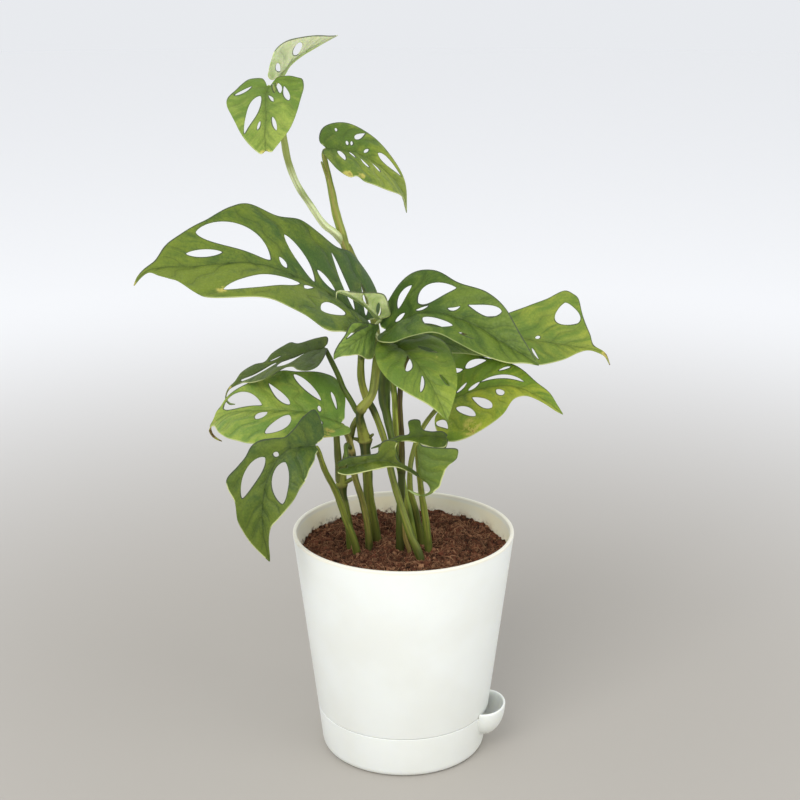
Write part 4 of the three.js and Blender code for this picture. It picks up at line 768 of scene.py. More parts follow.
# Each blade's `rib` runs from the petiole to the tip, and `side` points to its left, seen from above.
# `left` and `right` are outlines from the petiole's notch to the tip as [along the rib, away from
# it], and holes are [along, away, length, width, degrees, taper, bow], all in mm. The halves rise by
# `fold` degrees and level out by `curl` degrees for each mm. The green goes from deep to bright
# towards the tip (`spread`) and on the left half (`lean`); burns are [along, away, radius, strength].
BLADES = {
    "blade_01": dict(look="young", side=[-0.08, -0.86, 0.51], fold=[3, 8], curl=0.3, twist=5,
        deep=[174, 192, 120], bright=[230, 234, 196], spread=0.6, lean=0.4,
        rib=[[-70, 32, 394], [-63, 35, 402], [-55, 38, 408], [-47, 41, 412], [-37, 46, 416]],
        left=[[-4, 5], [-5, 12], [-2, 17], [2, 22], [6, 26], [12, 25], [20, 19], [28, 12], [36, 5]],
        right=[[-2, 3], [3, 4], [9, 2.4], [17, 2.4], [25, 2.6], [34, 1.5]],
        holes=[[17, 9, 13, 6, 81, 0, 0], [3, 9, 10, 3.2, 88, 0.3, 0.3]]),
    "blade_02": dict(look="blade", side=[1, -0.03, 0.06], fold=[10, 10], deep=[100, 126, 46],
        bright=[146, 162, 70], spread=0.4,
        burns=[[53, 0, 3, 0.8]],
        rib=[[-74, 14, 391], [-75, 4, 385], [-74, -7, 377], [-74, -17, 369], [-73, -26, 361]],
        left=[[-5, 2.7], [-7, 4], [-7.5, 10.5], [-5, 16], [-3.5, 18.5], [4, 20.5], [13, 20], [26, 17],
            [38, 13.5], [44.5, 9.5], [50, 5], [52, 3]],
        right=[[-4, 2.7], [-6, 4.5], [-4, 11], [1, 14.5], [6, 17], [13, 21], [23.5, 19], [35, 14.5],
            [43.5, 10], [50.5, 5], [52.5, 2.4]],
        holes=[[6, -13, 11, 2.2, -46, 0.2, 0.8], [24, -7, 30, 5.5, -15, -0.5, -0.8],
            [12, 3, 7, 1.6, 26, 0.4, 0.3], [3, 6, 12, 2.6, 20, -0.1, 0.7],
            [9, 11, 15.5, 3, 15, 0.4, 0.3], [32, 5, 11, 2, 15, 0, 0], [3, 3.5, 9.5, 1.2, 17, 0, 0],
            [32.5, -3.5, 6.5, 1.3, -8, 0, 0]]),
    "blade_03": dict(look="blade", side=[-0.04, 0.89, 0.46], fold=[12, 12], deep=[84, 110, 32],
        bright=[139, 153, 48], spread=0.6,
        burns=[[9, -27, 5, 0.5], [14, -27, 4, 0.5], [20, -26, 3, 0.4]],
        rib=[[-44, 30, 355], [-28, 35, 352], [-13, 39, 343], [-2, 42, 330], [2, 43, 316]],
        left=[[-3, 4], [-2, 12], [3, 19], [13, 23], [24, 21], [36, 17], [48, 13], [58, 7]],
        right=[[-3, 5], [-1, 14], [3, 24], [9, 29], [15, 27], [22, 30], [34, 27], [46, 20], [57, 9]],
        holes=[[20, 15, 10, 2.6, 60, -0.7, 0.2], [8, 16, 3, 1.4, 85, 0.2, 0],
            [40, 9, 18, 6.4, 3, -0.6, -0.4], [8, -7, 12, 3.6, -83, -0.1, 0], [15, -4, 7, 2, -63, 0, 0],
            [23, -8, 9, 2.6, -49, 0.6, -0.5], [31, -6, 8, 2.6, -42, 0.4, 0.6],
            [24, 5, 5, 1.7, 64, 0, 0], [13, 6, 3.6, 1.6, 88, 0, 0], [15.5, 6.5, 3.6, 1.3, 84, 0, 0]]),
    "blade_04": dict(look="blade", side=[0.19, -0.83, -0.53], fold=[18, 18], deep=[64, 90, 34],
        bright=[112, 128, 40], spread=0.8, lean=0.1,
        burns=[[108, 24, 3.5, 0.5], [151, 0, 3, 0.4]],
        rib=[[-20, -5, 263], [-48, -23, 287], [-79, -40, 303], [-110, -57, 305], [-130, -69, 306],
            [-135, -72, 303], [-138, -74, 299]],
        left=[[-1, 3], [-2, 7], [2, 13], [10, 21], [20, 30], [33, 37], [46, 43], [60, 38], [76, 34],
            [90, 32.5], [107, 31], [116, 29.5], [120, 28], [124, 23], [127.5, 17], [130, 13.5],
            [133, 12], [138, 8], [139.5, 4], [141, 1.8], [148, 1.4]],
        right=[[-6, 6], [-9, 17], [-3, 30], [5, 39], [14, 43], [27, 38], [38, 41], [50, 43], [65, 38],
            [78, 41], [86, 37], [93, 32.5], [99.5, 28.5], [106.5, 25.5], [115, 21.5], [124, 16],
            [128.5, 12], [132.5, 7], [135, 4.5], [139, 2.6], [148, 1]],
        holes=[[89, -13, 40, 16.7, -23, 0.1, -4.6], [107, -7.5, 20, 4.7, -2, 0, -0.1],
            [81, 15.5, 56, 10.6, 18, -0.1, 1.1], [63, -6, 7, 3.5, -49, -0.2, 0],
            [52, -14, 30, 8, -49, 0.1, -0.2], [48, 7, 11, 3, 40, 0.3, -0.8],
            [34, -8, 15, 4.4, -26, 0.1, 0.3], [21, -16, 35, 5, -56, -0.2, 1],
            [35, 20, 26, 10, 34, 0, -1.1], [5, -13, 21, 4, -74, -0.1, -1.3]]),
    "blade_05": dict(look="blade", side=[0.36, 0.69, 0.63], fold=[24, 26], curl=0.5, twist=4,
        deep=[64, 90, 28], bright=[102, 122, 40], spread=0.6,
        rib=[[-10, -10, 259], [11, -25, 273], [33, -40, 272], [52, -54, 264], [71, -64, 254]],
        left=[[-3, 3], [-4, 9], [1, 16], [9, 23], [20, 27], [31, 25], [44, 19], [60, 19], [73, 16],
            [87, 9], [97, 4]],
        right=[[-3, 3], [-1, 9], [5, 17], [14, 25], [25, 29], [36, 24], [48, 18], [64, 18], [80, 17],
            [92, 12], [99, 5]],
        holes=[[16, 14, 14, 6, 44, 0, 1.8], [35, 11, 21, 10, 26, -0.5, 1.5],
            [28, 3, 8, 1.4, 8, 0, -0.6], [47, 5, 7, 1.8, 25, -0.1, -1],
            [63, 11, 18, 5.7, 15, 0.6, -1.4], [12, 3, 8, 3, 10, 0, 0], [43, -7, 21, 8, -5, 0, -2.4],
            [65, -10, 10, 1.6, 8, -0.1, 0.1]]),
    "blade_06": dict(look="young", side=[0.12, -0.57, 0.82], fold=[12, 12], curl=0.3,
        deep=[186, 198, 126], bright=[244, 242, 196], spread=0.5,
        rib=[[-12, -8, 265], [-16, -10, 269], [-22, -12, 275], [-30.5, -19, 282], [-34, -21, 283.5],
            [-36.5, -23, 283.5], [-37, -24, 280.5]],
        left=[[-1, 5], [5.5, 10], [11.5, 12.5], [16, 9.5], [20.5, 5.5], [25.5, 2.7], [29, 1.5],
            [34, 1]],
        right=[[-2, 2.6], [1.8, 4], [8, 2.7], [12.5, 2.3], [20, 2.5], [26, 2.1], [31, 1.6]],
        holes=[[16, 2.4, 7.5, 2.2, 24, 0.1, 0], [6.5, 3.5, 9, 2.6, 43, 0, -0.2]]),
    "blade_07": dict(look="blade", side=[0.85, 0.5, 0.13], fold=[12, 12], curl=0.5, twist=6,
        deep=[97, 122, 45], bright=[138, 154, 56], spread=0.4,
        burns=[[27, 12, 3, 0.4]],
        rib=[[-6, -21, 255], [4, -37, 251], [12, -51, 244], [18, -61, 235], [23, -69, 225]],
        left=[[-5, 3], [-4, 10], [3, 17], [13, 21], [24, 21], [36, 18], [48, 13], [58, 6]],
        right=[[-3, 3], [-4, 7], [1, 12], [11, 18], [23, 22], [35, 21], [46, 15], [56, 6]],
        holes=[[24, -5, 16, 3.8, -29, 0.7, 0.7], [41, -5, 12, 2, -31, 0.1, 0.5],
            [43, 8, 8, 1.6, 11, 0.3, 0], [19, 11, 12, 2.6, 26, -0.4, -0.4]]),
    "blade_08": dict(look="blade", side=[0.15, -0.05, -0.98], fold=[-9, 12], deep=[90, 117, 52],
        bright=[141, 165, 73], spread=0.5,
        rib=[[-14, -20, 264], [-21, -36, 263], [-26, -46, 262], [-31, -52, 259], [-37, -56, 255]],
        left=[[1, 1.6], [4, 4], [4, 8], [3, 13], [6, 16.5], [14, 15], [22, 11], [35.5, 5], [42.5, 0.8]],
        right=[[-0.7, 0.9], [5, 2.6], [12.5, 5.5], [22.5, 9], [29, 11.5], [31, 11], [34.5, 8],
            [40, 5.5], [44, 2.8]],
        holes=[[24, -5, 20.5, 1.8, -3, 0.3, -1]]),
    "blade_09": dict(look="lime", side=[0.1, 0.82, 0.57], fold=[13, 13], twist=4, deep=[98, 124, 44],
        bright=[144, 154, 56], spread=0.5,
        burns=[[83, 0, 4, 0.9], [87, 0, 3, 1]],
        rib=[[39, 35, 246], [61, 30, 245], [82, 26, 243], [103, 20.5, 241], [112, 19, 240],
            [117, 17.5, 237.5], [120, 17, 231.5]],
        left=[[-4, 3], [-4, 9], [6, 12], [16, 14], [27, 20], [34, 25], [41, 30], [49.5, 38], [54, 36.5],
            [57.5, 34], [63, 22.5], [69.5, 9.5], [73, 2.4], [80, 1]],
        right=[[-4, 3], [-4, 9], [7, 16], [24, 20], [40, 20], [46, 19.5], [57, 13.5], [65, 5],
            [70, 1.8], [78, 2.2], [84.5, 1.6]],
        holes=[[56, 22, 17, 14, 128, -0.2, 3.4], [40, 2.3, 2.9, 2, 25, 0.1, 0],
            [41, -11.5, 10, 1.4, 124, 0.3, 0.4]]),
    "blade_10": dict(look="lime", side=[0.04, 0.8, 0.6], fold=[12, 12], twist=-12, deep=[110, 139, 42],
        bright=[167, 175, 53], spread=0.4, lean=-0.2,
        burns=[[12.7, -29.5, 6, 0.9], [-4, -20, 7, 0.35]],
        rib=[[25, 10, 211], [42, 8, 219], [61, 6, 222], [78, 4, 216], [92, 3, 206]],
        left=[[-6, 4], [-7, 12], [-2, 24], [9, 32], [18, 28], [28, 20], [42, 14], [52, 9], [62, 7],
            [69, 3]],
        right=[[-8, 8], [-9, 19], [-4, 30], [6, 34], [17, 34], [28, 30], [37, 24], [43, 11], [50, 5],
            [60, 4], [69, 3]],
        holes=[[11, 5, 8, 1.8, 27, 0, -0.4], [18, 3, 8, 2.2, 24, -0.1, -0.3],
            [34, 5, 23, 2.6, 2, 0.3, 1.4], [35, 12, 6, 1.5, 29, 0.2, 0],
            [21, 18, 11, 5.4, 11, -0.3, 1.2], [12, 18, 5, 3, 141, -0.1, 1],
            [33, -6, 7, 4.6, -56, 0.2, 0.2], [22, -12, 17, 6, -47, 0.4, 0],
            [11, -15, 17, 5.4, -50, 0, 0.2], [-5, -17, 11, 4.4, -57, -0.5, 1]]),
    "blade_11": dict(look="shade", side=[0.1, 0.85, 0.5], fold=[14, 14], deep=[58, 82, 22],
        bright=[90, 108, 26], spread=0.4,
        rib=[[-2, 12, 246], [11, 10, 248], [23, 8, 247], [36, 6, 244], [48, 4, 240]],
        left=[[-3, 3], [-2, 7], [6, 11], [16, 12], [28, 9], [40, 5]],
        right=[[-3, 3], [-2, 7], [6, 11], [17, 12], [29, 9], [40, 5]],
        holes=[[18, -6, 9, 2, -35, 0, 0]]),
    "blade_12": dict(look="shade", side=[0, 0.25, 0.97], fold=[10, 40], deep=[70, 89, 25],
        bright=[104, 116, 31], spread=0.3,
        rib=[[-31, -42, 190], [-21, -44, 193], [-10, -44, 194], [0, -40, 189], [6, -36, 184],
            [12, -32, 178.5]],
        left=[[-2.5, 0.6], [-5, 0.8], [-5, 3], [-2.5, 4.2], [2.2, 5], [6, 4.5], [14, 4], [17.5, 4.5],
            [18, 8], [20, 11], [23, 12], [25.5, 11.5], [25.5, 8], [27, 4], [31, 1.6], [40, 1.2],
            [48, 0.8]],
        right=[[-2.5, 0.6], [-5.3, 0.8], [-5.7, 3], [-4, 4.4], [-0.5, 6], [3.1, 6.5], [7.5, 6.5],
            [13.5, 6], [18.5, 5.5], [24, 4], [30, 2.5], [39, 2], [47, 1.2]]),
    "blade_13": dict(look="blade", side=[0.98, -0.1, 0.1], fold=[6, -55], curl=0.5, deep=[91, 112, 41],
        bright=[130, 145, 49], spread=0.3,
        rib=[[8, -40, 203], [9, -41, 193.5], [10.5, -42, 185], [14.5, -43, 179], [15, -43.5, 176],
            [12, -44, 174], [7, -43.5, 174], [2.5, -43, 176.5]],
        left=[[1.5, 2], [2.8, 6.5], [4, 14.5], [5.5, 21.5], [10, 21], [16, 19], [18.5, 15], [21.5, 11],
            [24, 7.5], [26, 5.5], [29, 1.6], [40, 0.8]],
        right=[[1.5, 1.6], [9, 2.2], [14, 3.5], [19, 5], [22.5, 4.5], [24.5, 1.8], [30, 0.8],
            [40, 0.7]]),
    "blade_14": dict(look="shade", side=[0, -0.5, -0.87], fold=[20, 8], deep=[70, 91, 20],
        bright=[100, 118, 22], spread=0.3,
        rib=[[24, -26, 201], [13, -28, 203], [2, -31, 203], [-8, -33, 201], [-18, -35, 198]],
        left=[[-0.5, 2], [0.6, 5.5], [4, 7], [8.5, 7.5], [15.5, 5.5], [22, 2.7], [27, 1.6], [36, 1.2]],
        right=[[-0.5, 1.5], [2.4, 3.5], [9.5, 2.7], [14, 4], [15, 9], [20.5, 9], [21.5, 2], [27, 2],
            [36, 1]]),
    "blade_15": dict(look="shade", side=[0.11, -0.95, -0.28], fold=[15, 10], twist=4, deep=[76, 94, 32],
        bright=[106, 122, 36], spread=0.4,
        burns=[[62, 0, 4, 0.5]],
        rib=[[-45, 5, 245], [-62, 5, 240], [-79, 6, 233], [-94, 9, 223.5], [-101, 9.5, 219],
            [-103, 10, 214], [-101, 11, 210], [-98, 12, 209]],
        left=[[-1, 2], [-1, 10.5], [1.5, 20.5], [5, 26], [9.5, 27], [15, 22.5], [18.5, 16], [22, 14.5],
            [26, 17], [30, 20], [35, 19.5], [43.5, 13.5], [53, 4], [60, 1.2], [72, 1.2]],
        right=[[-2, 3], [-2.3, 9], [4, 10.5], [15, 10.5], [19.5, 14], [24, 13], [32, 10], [36.5, 5.5],
            [44, 8], [53.5, 8], [58, 3], [63.5, 1.2], [72, 1]],
        holes=[[20, 3.5, 18, 7.9, 27, 0.6, 0.7], [41.5, -0.9, 25, 6.4, -3, -0.2, 4],
            [29.5, -4.5, 8, 1.1, 5, 0.1, 0.5]]),
    "blade_16": dict(look="lime", side=[-0.14, -0.91, -0.4], fold=[16, 14], twist=-10,
        deep=[106, 137, 56], bright=[156, 170, 71], spread=0.5, lean=0.03,
        burns=[[82, 0, 5, 1], [88, 0, 5, 1], [9, 20, 6, 1], [5, 12, 3, 0.5], [76, 6, 5, 0.4]],
        rib=[[-35, -20, 208], [-57, -19, 214], [-79, -16, 214], [-99, -12, 211], [-108.5, -10, 204],
            [-110, -9.5, 201.5], [-109, -8.5, 197.5], [-107, -8, 195], [-104, -8, 193]],
        left=[[-5, 3], [-6, 9], [1, 16], [8, 21], [15, 27], [30, 31], [45.5, 31], [54, 27.5],
            [63, 23.5], [69, 18], [72.5, 11.5], [75, 6], [78, 3], [83, 2], [89, 1]],
        right=[[-1, 3], [0, 9], [2, 19], [6, 26], [10.5, 30.5], [17, 31], [30, 28.5], [38.5, 29],
            [47, 24.5], [60, 17], [66, 12], [70, 7.5], [73, 6], [77, 2.4], [82, 1.6], [89, 0.8]],
        holes=[[57.5, -4.5, 22, 10.5, -3, 0.4, -3.5], [37.5, -11.5, 20, 4, 134, 0.5, -0.6],
            [23, -18.5, 23, 4.8, -42, 0.1, 0.3], [7.5, -13.5, 12, 1.9, 118, -0.3, 0.1],
            [45, 5, 9, 5.6, 60, 0, -0.5], [34, 14, 21, 9.4, 64, 0, 1.6], [12, 7.5, 7, 3.7, -87, 0.3, 0],
            [14, -5, 4, 2, -69, 0, 0]]),
    "blade_17": dict(look="blade", side=[0.6, -0.25, -0.75], fold=[14, 14], deep=[54, 78, 28],
        bright=[96, 112, 34], spread=0.9,
        rib=[[-48, -46, 203], [-64, -52, 202], [-74, -56, 187], [-77, -59, 164], [-74, -58, 140]],
        left=[[-1, 2], [1.5, 5.5], [3, 9], [7, 14], [10.5, 18], [18, 19.5], [28, 19.5], [34, 19],
            [40, 18.5], [45.5, 17], [52, 13.5], [57, 10], [62, 6], [73, 2.6], [80, 1.4]],
        right=[[-5, 4], [-5, 13], [-2, 20], [5, 17], [11, 10], [15, 7.5], [19, 10.5], [22, 14],
            [25, 16], [30, 16], [35, 18], [41, 21.5], [44.5, 20], [50, 15.5], [60, 14], [66, 12],
            [72, 9.5], [78, 5]],
        holes=[[37, -9, 22, 7.7, -13, -0.3, -0.3], [34.5, 8, 26.5, 10, 16, -0.1, -0.5],
            [22, -2.5, 3.2, 2.4, -76, 0, 0]]),
}
HABIT = {"curl": 0.4, "twist": 0, "lean": 0, "burns": (), "holes": ()}  # where a blade says no other
# In mm: the blade's thickness, its border's start and end beside the rib, and the reach over which
# its direction is averaged and its valley rounded. Behind the petiole the twist is held at the share
# `hang` of the whole, and edges of more than `sharp` degrees stay crisp.
BLADE = {"thick": 0.42, "notch": 0.9, "tip": 0.3, "even": 8, "valley": 1.3, "hang": -0.3, "sharp": 55}
VEINS = {"lean": 0.1, "fan": 2.3, "bend": 0.004, "pitch": 7.0, "pairs": 8, "join": 0.6, "step": 0.05}
# All are heights in mm but these: `full` is the length of a blade whose ridge is full, `calm` is how
# far from the border the relief starts, and `thin` is the share of its thickness lost at the border.
RELIEF = {"ridge": 0.8, "full": 120, "groove": 0.15, "swell": 0.55, "slack": 0.35, "rib": 0.25,
          "vein": 0.22, "thin": 0.45, "calm": 2.5}
# In mm: the triangles of a short and of a long blade, the length a long one starts at, the points
# of the border that distances are measured to, and the strip beside the rib with rows of its own.
SPACING = {"short": 0.8, "long": 1.0, "from": 60, "border": 0.4, "row": 0.87, "strip": 1.6}
# The underside's green, a burn's straw and brown, the dark margin, and the pale painted highlight along
# edges that face down.
LEAF = {"under": (168, 186, 120), "straw": (196, 184, 92), "burnt": (112, 84, 48),
        "margin": (56, 62, 50), "edge_highlight": (204, 208, 144)}


def blade_surface(spec):
    """The bent sheet as a function of (along, away, lift) in mm. The rib runs on straight past its
    ends, and its direction at u is that from u - 8 to u + 8 mm. Away from the rib a half has the
    slope fold - curl x; its distance and rise are the integrals of that slope's cosine and sine.
    Near the rib the rise and the slope fade to nothing, which rounds the valley."""
    curve, length = smooth_path(spec["rib"])
    whole = length[-1]
    tangents = np.gradient(curve, length, axis=0)
    fold, rate = np.radians(spec["fold"]), math.radians(spec["curl"])
    across = np.array(spec["side"], float)

    def rib_at(u):
        on = np.clip(u, 0, whole)
        tangent = unit(at_lengths(tangents, length, on))
        return at_lengths(curve, length, on) + tangent * (u - on)[:, None]

    def place(u, v, lift):
        centre = rib_at(u)
        forward = unit(rib_at(u + BLADE["even"]) - rib_at(u - BLADE["even"]))
        left = unit(across - forward * (forward @ across)[:, None])
        angle = math.radians(spec["twist"]) * np.maximum(u / whole, BLADE["hang"])[:, None]
        left = left * np.cos(angle) + np.cross(forward, left) * np.sin(angle)
        up = np.cross(forward, left)
        sign, far = np.sign(v), np.abs(v)
        start = np.where(v < 0, fold[1], fold[0])
        slope = start - rate * far
        valley = 1 - bell(far, BLADE["valley"])
        out = (np.sin(start) - np.sin(slope)) / rate
        rise = (np.cos(slope) - np.cos(start)) / rate * valley
        tilt = slope * valley
        normal = up * np.cos(tilt)[:, None] - left * (sign * np.sin(tilt))[:, None]
        return centre + left * (sign * out)[:, None] + up * rise[:, None] + normal * lift[:, None]

    return place, whole


def border(points, spacing):
    """A smooth line through the points with its own points evenly spaced."""
    curve, length = smooth_path(points)
    return at_lengths(curve, length, np.linspace(0, length[-1], max(5, round(length[-1] / spacing) + 1)))


def hole_loop(hole, spacing):
    """A slot: along = cos t and away = sin t |sin t|^0.35 (1 + taper cos t), bowed and turned."""
    u, v, long, wide, angle, taper, bow = hole
    count = max(14, round(2.1 * long / spacing))
    t = np.linspace(0, 2 * np.pi, count, endpoint=False)
    away = np.sin(t) * np.abs(np.sin(t)) ** 0.35 * (1 + taper * np.cos(t)) * wide / 2
    away = away + bow * np.sin(t) ** 2
    along, turn = np.cos(t) * long / 2, math.radians(angle)
    return np.stack([u + along * math.cos(turn) - away * math.sin(turn),
                     v + along * math.sin(turn) + away * math.cos(turn)], axis=-1)


def nearest(points, others):
    """Each point's distance to the nearest of the others, and which one that is."""
    square = ((points[:, None] - others[None]) ** 2).sum(axis=-1)
    return np.sqrt(square.min(axis=1)), square.argmin(axis=1)


def inside(points, loops):
    """True where a ray from the point crosses the loops an odd number of times."""
    start = np.vstack(loops)
    end = np.vstack([np.roll(loop, -1, axis=0) for loop in loops])
    x, y = points[:, :1], points[:, 1:]
    (x0, y0), (x1, y1) = start.T, end.T
    spans = (y0 > y) != (y1 > y)
    with np.errstate(divide="ignore", invalid="ignore"):
        cross = x0 + (y - y0) * (x1 - x0) / (y1 - y0)
    return (spans & (x < cross)).sum(axis=1) % 2 == 1


def flat_blade(spec, whole, spacing):
    """The flat outline as triangles: its borders, two rows each side of the rib and a staggered
    lattice between them, joined by a constrained Delaunay triangulation."""
    notch, tip = BLADE["notch"], BLADE["tip"]
    right = border([[0, -notch], *[[u, -v] for u, v in spec["right"]], [whole, -tip]], spacing)
    left = border([[0, notch], *spec["left"], [whole, tip]], spacing)
    loops = [np.vstack([right, left[::-1]])] + [hole_loop(hole, spacing) for hole in spec["holes"]]
    edge_points = np.vstack(loops)
    low, high = edge_points.min(axis=0), edge_points.max(axis=0)
    step = spacing * 1.1
    columns, rows = ((high - low) / [step, step * SPACING["row"]]).astype(int)
    row, column = np.mgrid[0:rows + 1, 0:columns + 1]
    field = np.stack([column + 0.5 * (row % 2), row * SPACING["row"]], axis=-1)
    field = low + step * field.reshape(-1, 2)
    field = field[(np.abs(field[:, 1]) > SPACING["strip"]) | (field[:, 0] < 0)]
    u = np.arange(step, whole - 1, spacing * 0.9)
    rib = np.vstack([np.stack([u, 0 * u + v], axis=-1) for v in (-1.1, -0.5, 0, 0.5, 1.1)])
    inner = np.vstack([rib, field])
    inner = inner[nearest(inner, edge_points)[0] > 0.55 * spacing]
    inner = inner[inside(inner, loops)]
    starts = np.cumsum([0] + [len(loop) for loop in loops])
    edges = [(start + i, start + (i + 1) % len(loop))
             for start, loop in zip(starts.tolist(), loops) for i in range(len(loop))]
    flat = [Vector(point) for point in np.vstack([edge_points, inner]).tolist()]
    points, _, triangles, *_ = delaunay_2d_cdt(flat, edges, [], 0, 1e-5)
    points, triangles = np.array([tuple(point) for point in points]), np.array(triangles)
    triangles = triangles[inside(points[triangles].mean(axis=1), loops)]
    a, b, c = np.moveaxis(points[triangles], 1, 0)
    clockwise = (b[:, 0] - a[:, 0]) * (c[:, 1] - a[:, 1]) < (b[:, 1] - a[:, 1]) * (c[:, 0] - a[:, 0])
    triangles[clockwise] = triangles[clockwise][:, ::-1]
    return points, triangles, loops


def vein_phase(spec, whole, u, v):
    """Side veins lie where this is a whole number. A vein that leaves the rib at u0 runs along
    u = u0 + |v| (lean + fan u0 / whole) + bend v^2, and each hole's middle is half-way between two."""
    pitch = max(VEINS["pitch"], whole / VEINS["pairs"])

    def start(u, v):
        far = np.abs(v)
        return (u - VEINS["lean"] * far - VEINS["bend"] * far**2) / (1 + VEINS["fan"] * far / whole)

    phase = np.zeros_like(u)
    for sign in (-1, 1):
        holes = [hole[:2] for hole in spec["holes"] if hole[1] * sign > 0]
        holes = np.array(holes or [[whole / 2, sign * 5.0]])
        middles = np.unique(np.round(start(*holes.T) / (pitch * VEINS["join"]))) * pitch * VEINS["join"]
        number = np.cumsum([0.5, *np.maximum(1, np.round(np.diff(middles) / pitch))])
        line = start(u, v)
        warped = np.interp(line, middles, number)
        warped = warped + (np.minimum(line - middles[0], 0) + np.maximum(line - middles[-1], 0)) / pitch
        phase = np.where(v * sign >= 0, warped, phase)
    return phase + 0.12 * np.sin(0.23 * u + 0.31 * v) + 0.08 * np.sin(0.41 * v - 0.17 * u)


def vein_pitch(spec, whole, u, v):
    """The distance in mm from one side vein to the next: 1 over the steepness of the phase."""
    step = VEINS["step"]
    slope_u = vein_phase(spec, whole, u + step, v) - vein_phase(spec, whole, u - step, v)
    slope_v = vein_phase(spec, whole, u, v * 1.01) - vein_phase(spec, whole, u, v * 0.99)
    return 1 / np.hypot(slope_u / (2 * step), slope_v / (0.02 * np.abs(v) + TINY)).clip(0.02)


def facing_up(place, edges):
    """How much the leaf's edge faces up at each point of its border, from -1 to 1, or from 0 in a
    hole: the height gained by a short step out over the edge. All loops run anticlockwise."""
    steepness = []
    for number, line in enumerate(edges):
        out = unit(np.gradient(line, axis=0)[:, ::-1] * [1, -1] * (-1 if number else 1))
        flat = np.zeros(len(line))
        step = place(*(line + 0.5 * out).T, flat) - place(*line.T, flat)
        steepness.append((step[:, 2] / 0.5).clip(0 if number else -1))
    return np.concatenate(steepness)


def leaf_finish(name, spec, seed, under):
    """Waxy green in soft clouds, streaks and fine mottling, brighter towards the tip. The side veins
    are thin dark lines, and painted shade darkens the broad valleys along them and a band beside the
    midrib a little; the midrib is a dark groove. Below, the green is paler, and the veins and the
    midrib are paler still. The margin is dark where it faces up and carries a pale painted highlight
    where it faces down. A burn is straw-coloured round a brown middle."""
    finish = Finish(f"{name}_{'under' if under else 'upper'}")
    tones = {part: srgb(*colour) for part, colour in LEAF.items()}
    deep, bright = srgb(*spec["deep"]), srgb(*spec["bright"])
    flat = finish.add("UVMap", uv_map="flat")
    flat = finish.add("VectorMath", {0: flat, 1: (0.37 * seed, 0.71 * seed, 0)}, operation="ADD")
    along, away, half, rim, up, phase, pitch, burn = map(
        finish.attribute, ("along", "away", "half", "rim", "up", "phase", "pitch", "burn"))
    cloud, mottle, fine = (finish.noise(flat, scale, detail, 0.6)
                           for scale, detail in ((38, 2), (160, 3), (700, 3)))
    lateral = abs((phase + 0.5).math("FRACT") - 0.5) * pitch
    vein = lateral.rise(0.8, 0.0) * rim.rise(0.3, 4)
    # Painted shade: the broad valleys along the side veins and a band beside the midrib, darker towards
    # the base.
    valley = lateral.rise(3.6, 0.4) * rim.rise(0.3, 4) * (1.4 - along)
    midrib, beside = away.rise(0.7, 0.1), away.rise(4.5, 0.8) * (1.2 - along)
    fan = finish.add("CombineXYZ", {0: phase * 2.2, 1: away * 0.07, 2: seed * 1.7 + 9 * half})
    streak = finish.noise(fan, 1.0, 3, 0.6)
    cells = finish.add("TexVoronoi", {"Vector": flat, "Scale": 430}, feature="DISTANCE_TO_EDGE")
    network = cells.rise(0.2, 0.0)
    tone = along * spec["spread"] + half * spec["lean"] + 1.3 * (cloud - 0.5) + 1.6 * (streak - 0.5)
    tone = tone + 0.7 * (mottle - 0.5) + 0.5 * (fine - 0.5)
    body = finish.mix((tone + 0.2).rise(0.05, 0.95), deep, bright)
    if under:
        body = finish.mix(0.35, body, tones["under"])
        body = finish.mix(network * 0.12 + vein * 0.4, body, tones["under"])
        body = finish.mix(midrib * 0.8, body, tones["under"])
    else:
        dark = srgb(*(0.74 * np.array(spec["deep"])))
        # Darker marks: the vein network, painted shade in the valleys and beside the midrib, the veins and
        # the midrib groove.
        for darker in (network * 0.12, valley * 0.2 + beside * 0.28, vein * 0.3, midrib * 0.5):
            body = finish.mix(darker, body, dark)
    blemish = burn * (1.5 - 1.6 * mottle.rise(0.3, 0.7)) + burn * (fine - 0.5)
    body = finish.mix(blemish.rise(0.1, 0.5) * 0.8, body, tones["straw"])
    body = finish.mix(blemish.rise(0.5, 0.85) * 0.9, body, tones["burnt"])
    line = (rim - 0.7 * (mottle - 0.5)).rise(0.85, 0.35)
    body = finish.mix(line * up.rise(-0.15, 0.3) * 0.85, body, tones["margin"])
    # Painted highlight: a pale line along edges that face down, where the edge catches the light.
    body = finish.mix(rim.rise(0.75, 0.3) * up.rise(-0.2, -0.6) * 0.8, body, tones["edge_highlight"])
    rough = (0.52 if under else 0.4) + 0.16 * mottle + 0.1 * network
    relief = (0.5 if under else -0.5) * network + (0.8 if under else -0.6) * vein
    relief = relief + 1.2 * mottle + 0.4 * fine + streak
    bump = finish.bump(relief, 0.00016, 0.8)
    return finish.surface({"Base Color": body, "Roughness": rough, "Normal": bump,
                           "Subsurface Weight": 0.35 if spec["look"] == "young" else 0.12,
                           "Subsurface Scale": 0.0012, "Subsurface Radius": (0.7, 1.0, 0.25),
                           "Specular IOR Level": 0.26})


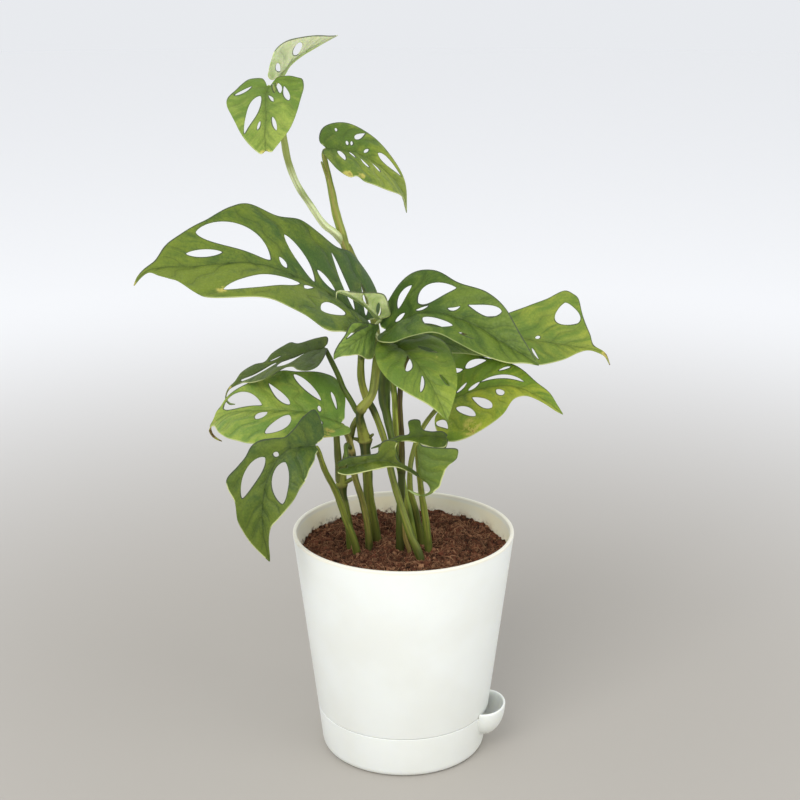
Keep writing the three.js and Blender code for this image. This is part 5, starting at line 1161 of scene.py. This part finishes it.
def blade_relief(whole, number, u, v, rim, lateral):
    """How far in mm the upper and the lower skin stand off the bent sheet. Both swell between the
    side veins and sink along them and along the midrib, and hang in slow waves. Below, the midrib is
    a ridge that fades towards the tip, and the veins stand out. The blade thins at its border."""
    calm, taper = 1 - bell(rim, RELIEF["calm"]), (1 - u / whole).clip(0, 1)
    swell = RELIEF["swell"] * (1 - bell(lateral, 3)) * calm
    groove = RELIEF["groove"] * bell(lateral, 0.9) * calm + RELIEF["rib"] * bell(v, 0.6) * (u > 0)
    slack = RELIEF["slack"] * np.sin(u * 0.19 + number) * np.sin(v * 0.16 + 2 * number) * (1 - bell(v, 8))
    half = BLADE["thick"] / 2 * (1 - RELIEF["thin"] * np.exp(-rim / 0.35))
    ridge = RELIEF["ridge"] * (0.35 + 0.65 * min(1, whole / RELIEF["full"])) * taper**0.8
    below = ridge * bell(v, 0.8) * (u > -0.5) + RELIEF["vein"] * bell(lateral, 0.45) * calm * taper
    sheet = swell - groove + slack
    return sheet + half, sheet - half - below


def shell_faces(triangles, count):
    """The triangles as an upper skin, reversed as a lower skin whose points come `count` later, and
    a strip along every border, where an edge belongs to one triangle only; and each one's finish."""
    directed = np.vstack([triangles[:, [0, 1]], triangles[:, [1, 2]], triangles[:, [2, 0]]])
    code = directed[:, 0] * count + directed[:, 1]
    a, b = directed[~np.isin(code, directed[:, 1] * count + directed[:, 0])].T
    strip = np.vstack([np.stack([a, a + count, b], axis=-1), np.stack([b, a + count, b + count], axis=-1)])
    faces = np.vstack([triangles, triangles[:, ::-1] + count, strip])
    return faces, np.repeat([0, 1, 0], [len(triangles), len(triangles), len(strip)])


for number, (name, facts) in enumerate(BLADES.items(), 1):
    spec = {**HABIT, **facts}
    place, whole = blade_surface(spec)
    spacing = SPACING["long" if whole > SPACING["from"] else "short"]
    flat, triangles, loops = flat_blade(spec, whole, spacing)
    u, v = flat.T
    edges = [border(np.vstack([loop, loop[:1]]), SPACING["border"]) for loop in loops]
    rim, closest = nearest(flat, np.vstack(edges))
    phase, pitch = vein_phase(spec, whole, u, v), vein_pitch(spec, whole, u, v)
    lateral = np.abs((phase + 0.5) % 1 - 0.5) * pitch
    upper, lower = blade_relief(whole, number, u, v, rim, lateral)
    faces, side = shell_faces(triangles, len(flat))
    burn = 0 * u
    for at_u, at_v, size, most in spec["burns"]:
        burn = np.maximum(burn, most * bell(np.hypot(u - at_u, v - at_v), size))
    marks = {"along": (u / whole).clip(0, 1), "away": np.abs(v) + 3 * (u < 0), "half": (v / 2).clip(-1, 1),
             "rim": rim, "up": facing_up(place, edges)[closest] * (np.abs(v) > SPACING["strip"]),
             "phase": phase, "pitch": pitch, "burn": burn}
    leaf = new_piece(f"{name}_grown", np.vstack([place(u, v, upper), place(u, v, lower)]) * MM, faces,
                     leaf_finish(name, spec, number, False), leaf_finish(name, spec, number, True),
                     **{mark: np.tile(values, 2) for mark, values in marks.items()})
    leaf.data.polygons.foreach_set("material_index", side)
    leaf.data.set_sharp_from_angle(angle=math.radians(BLADE["sharp"]))
    set_map(leaf, np.vstack([flat, flat])[faces.ravel()] * MM)
    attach(leaf, "root")
    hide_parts(name)
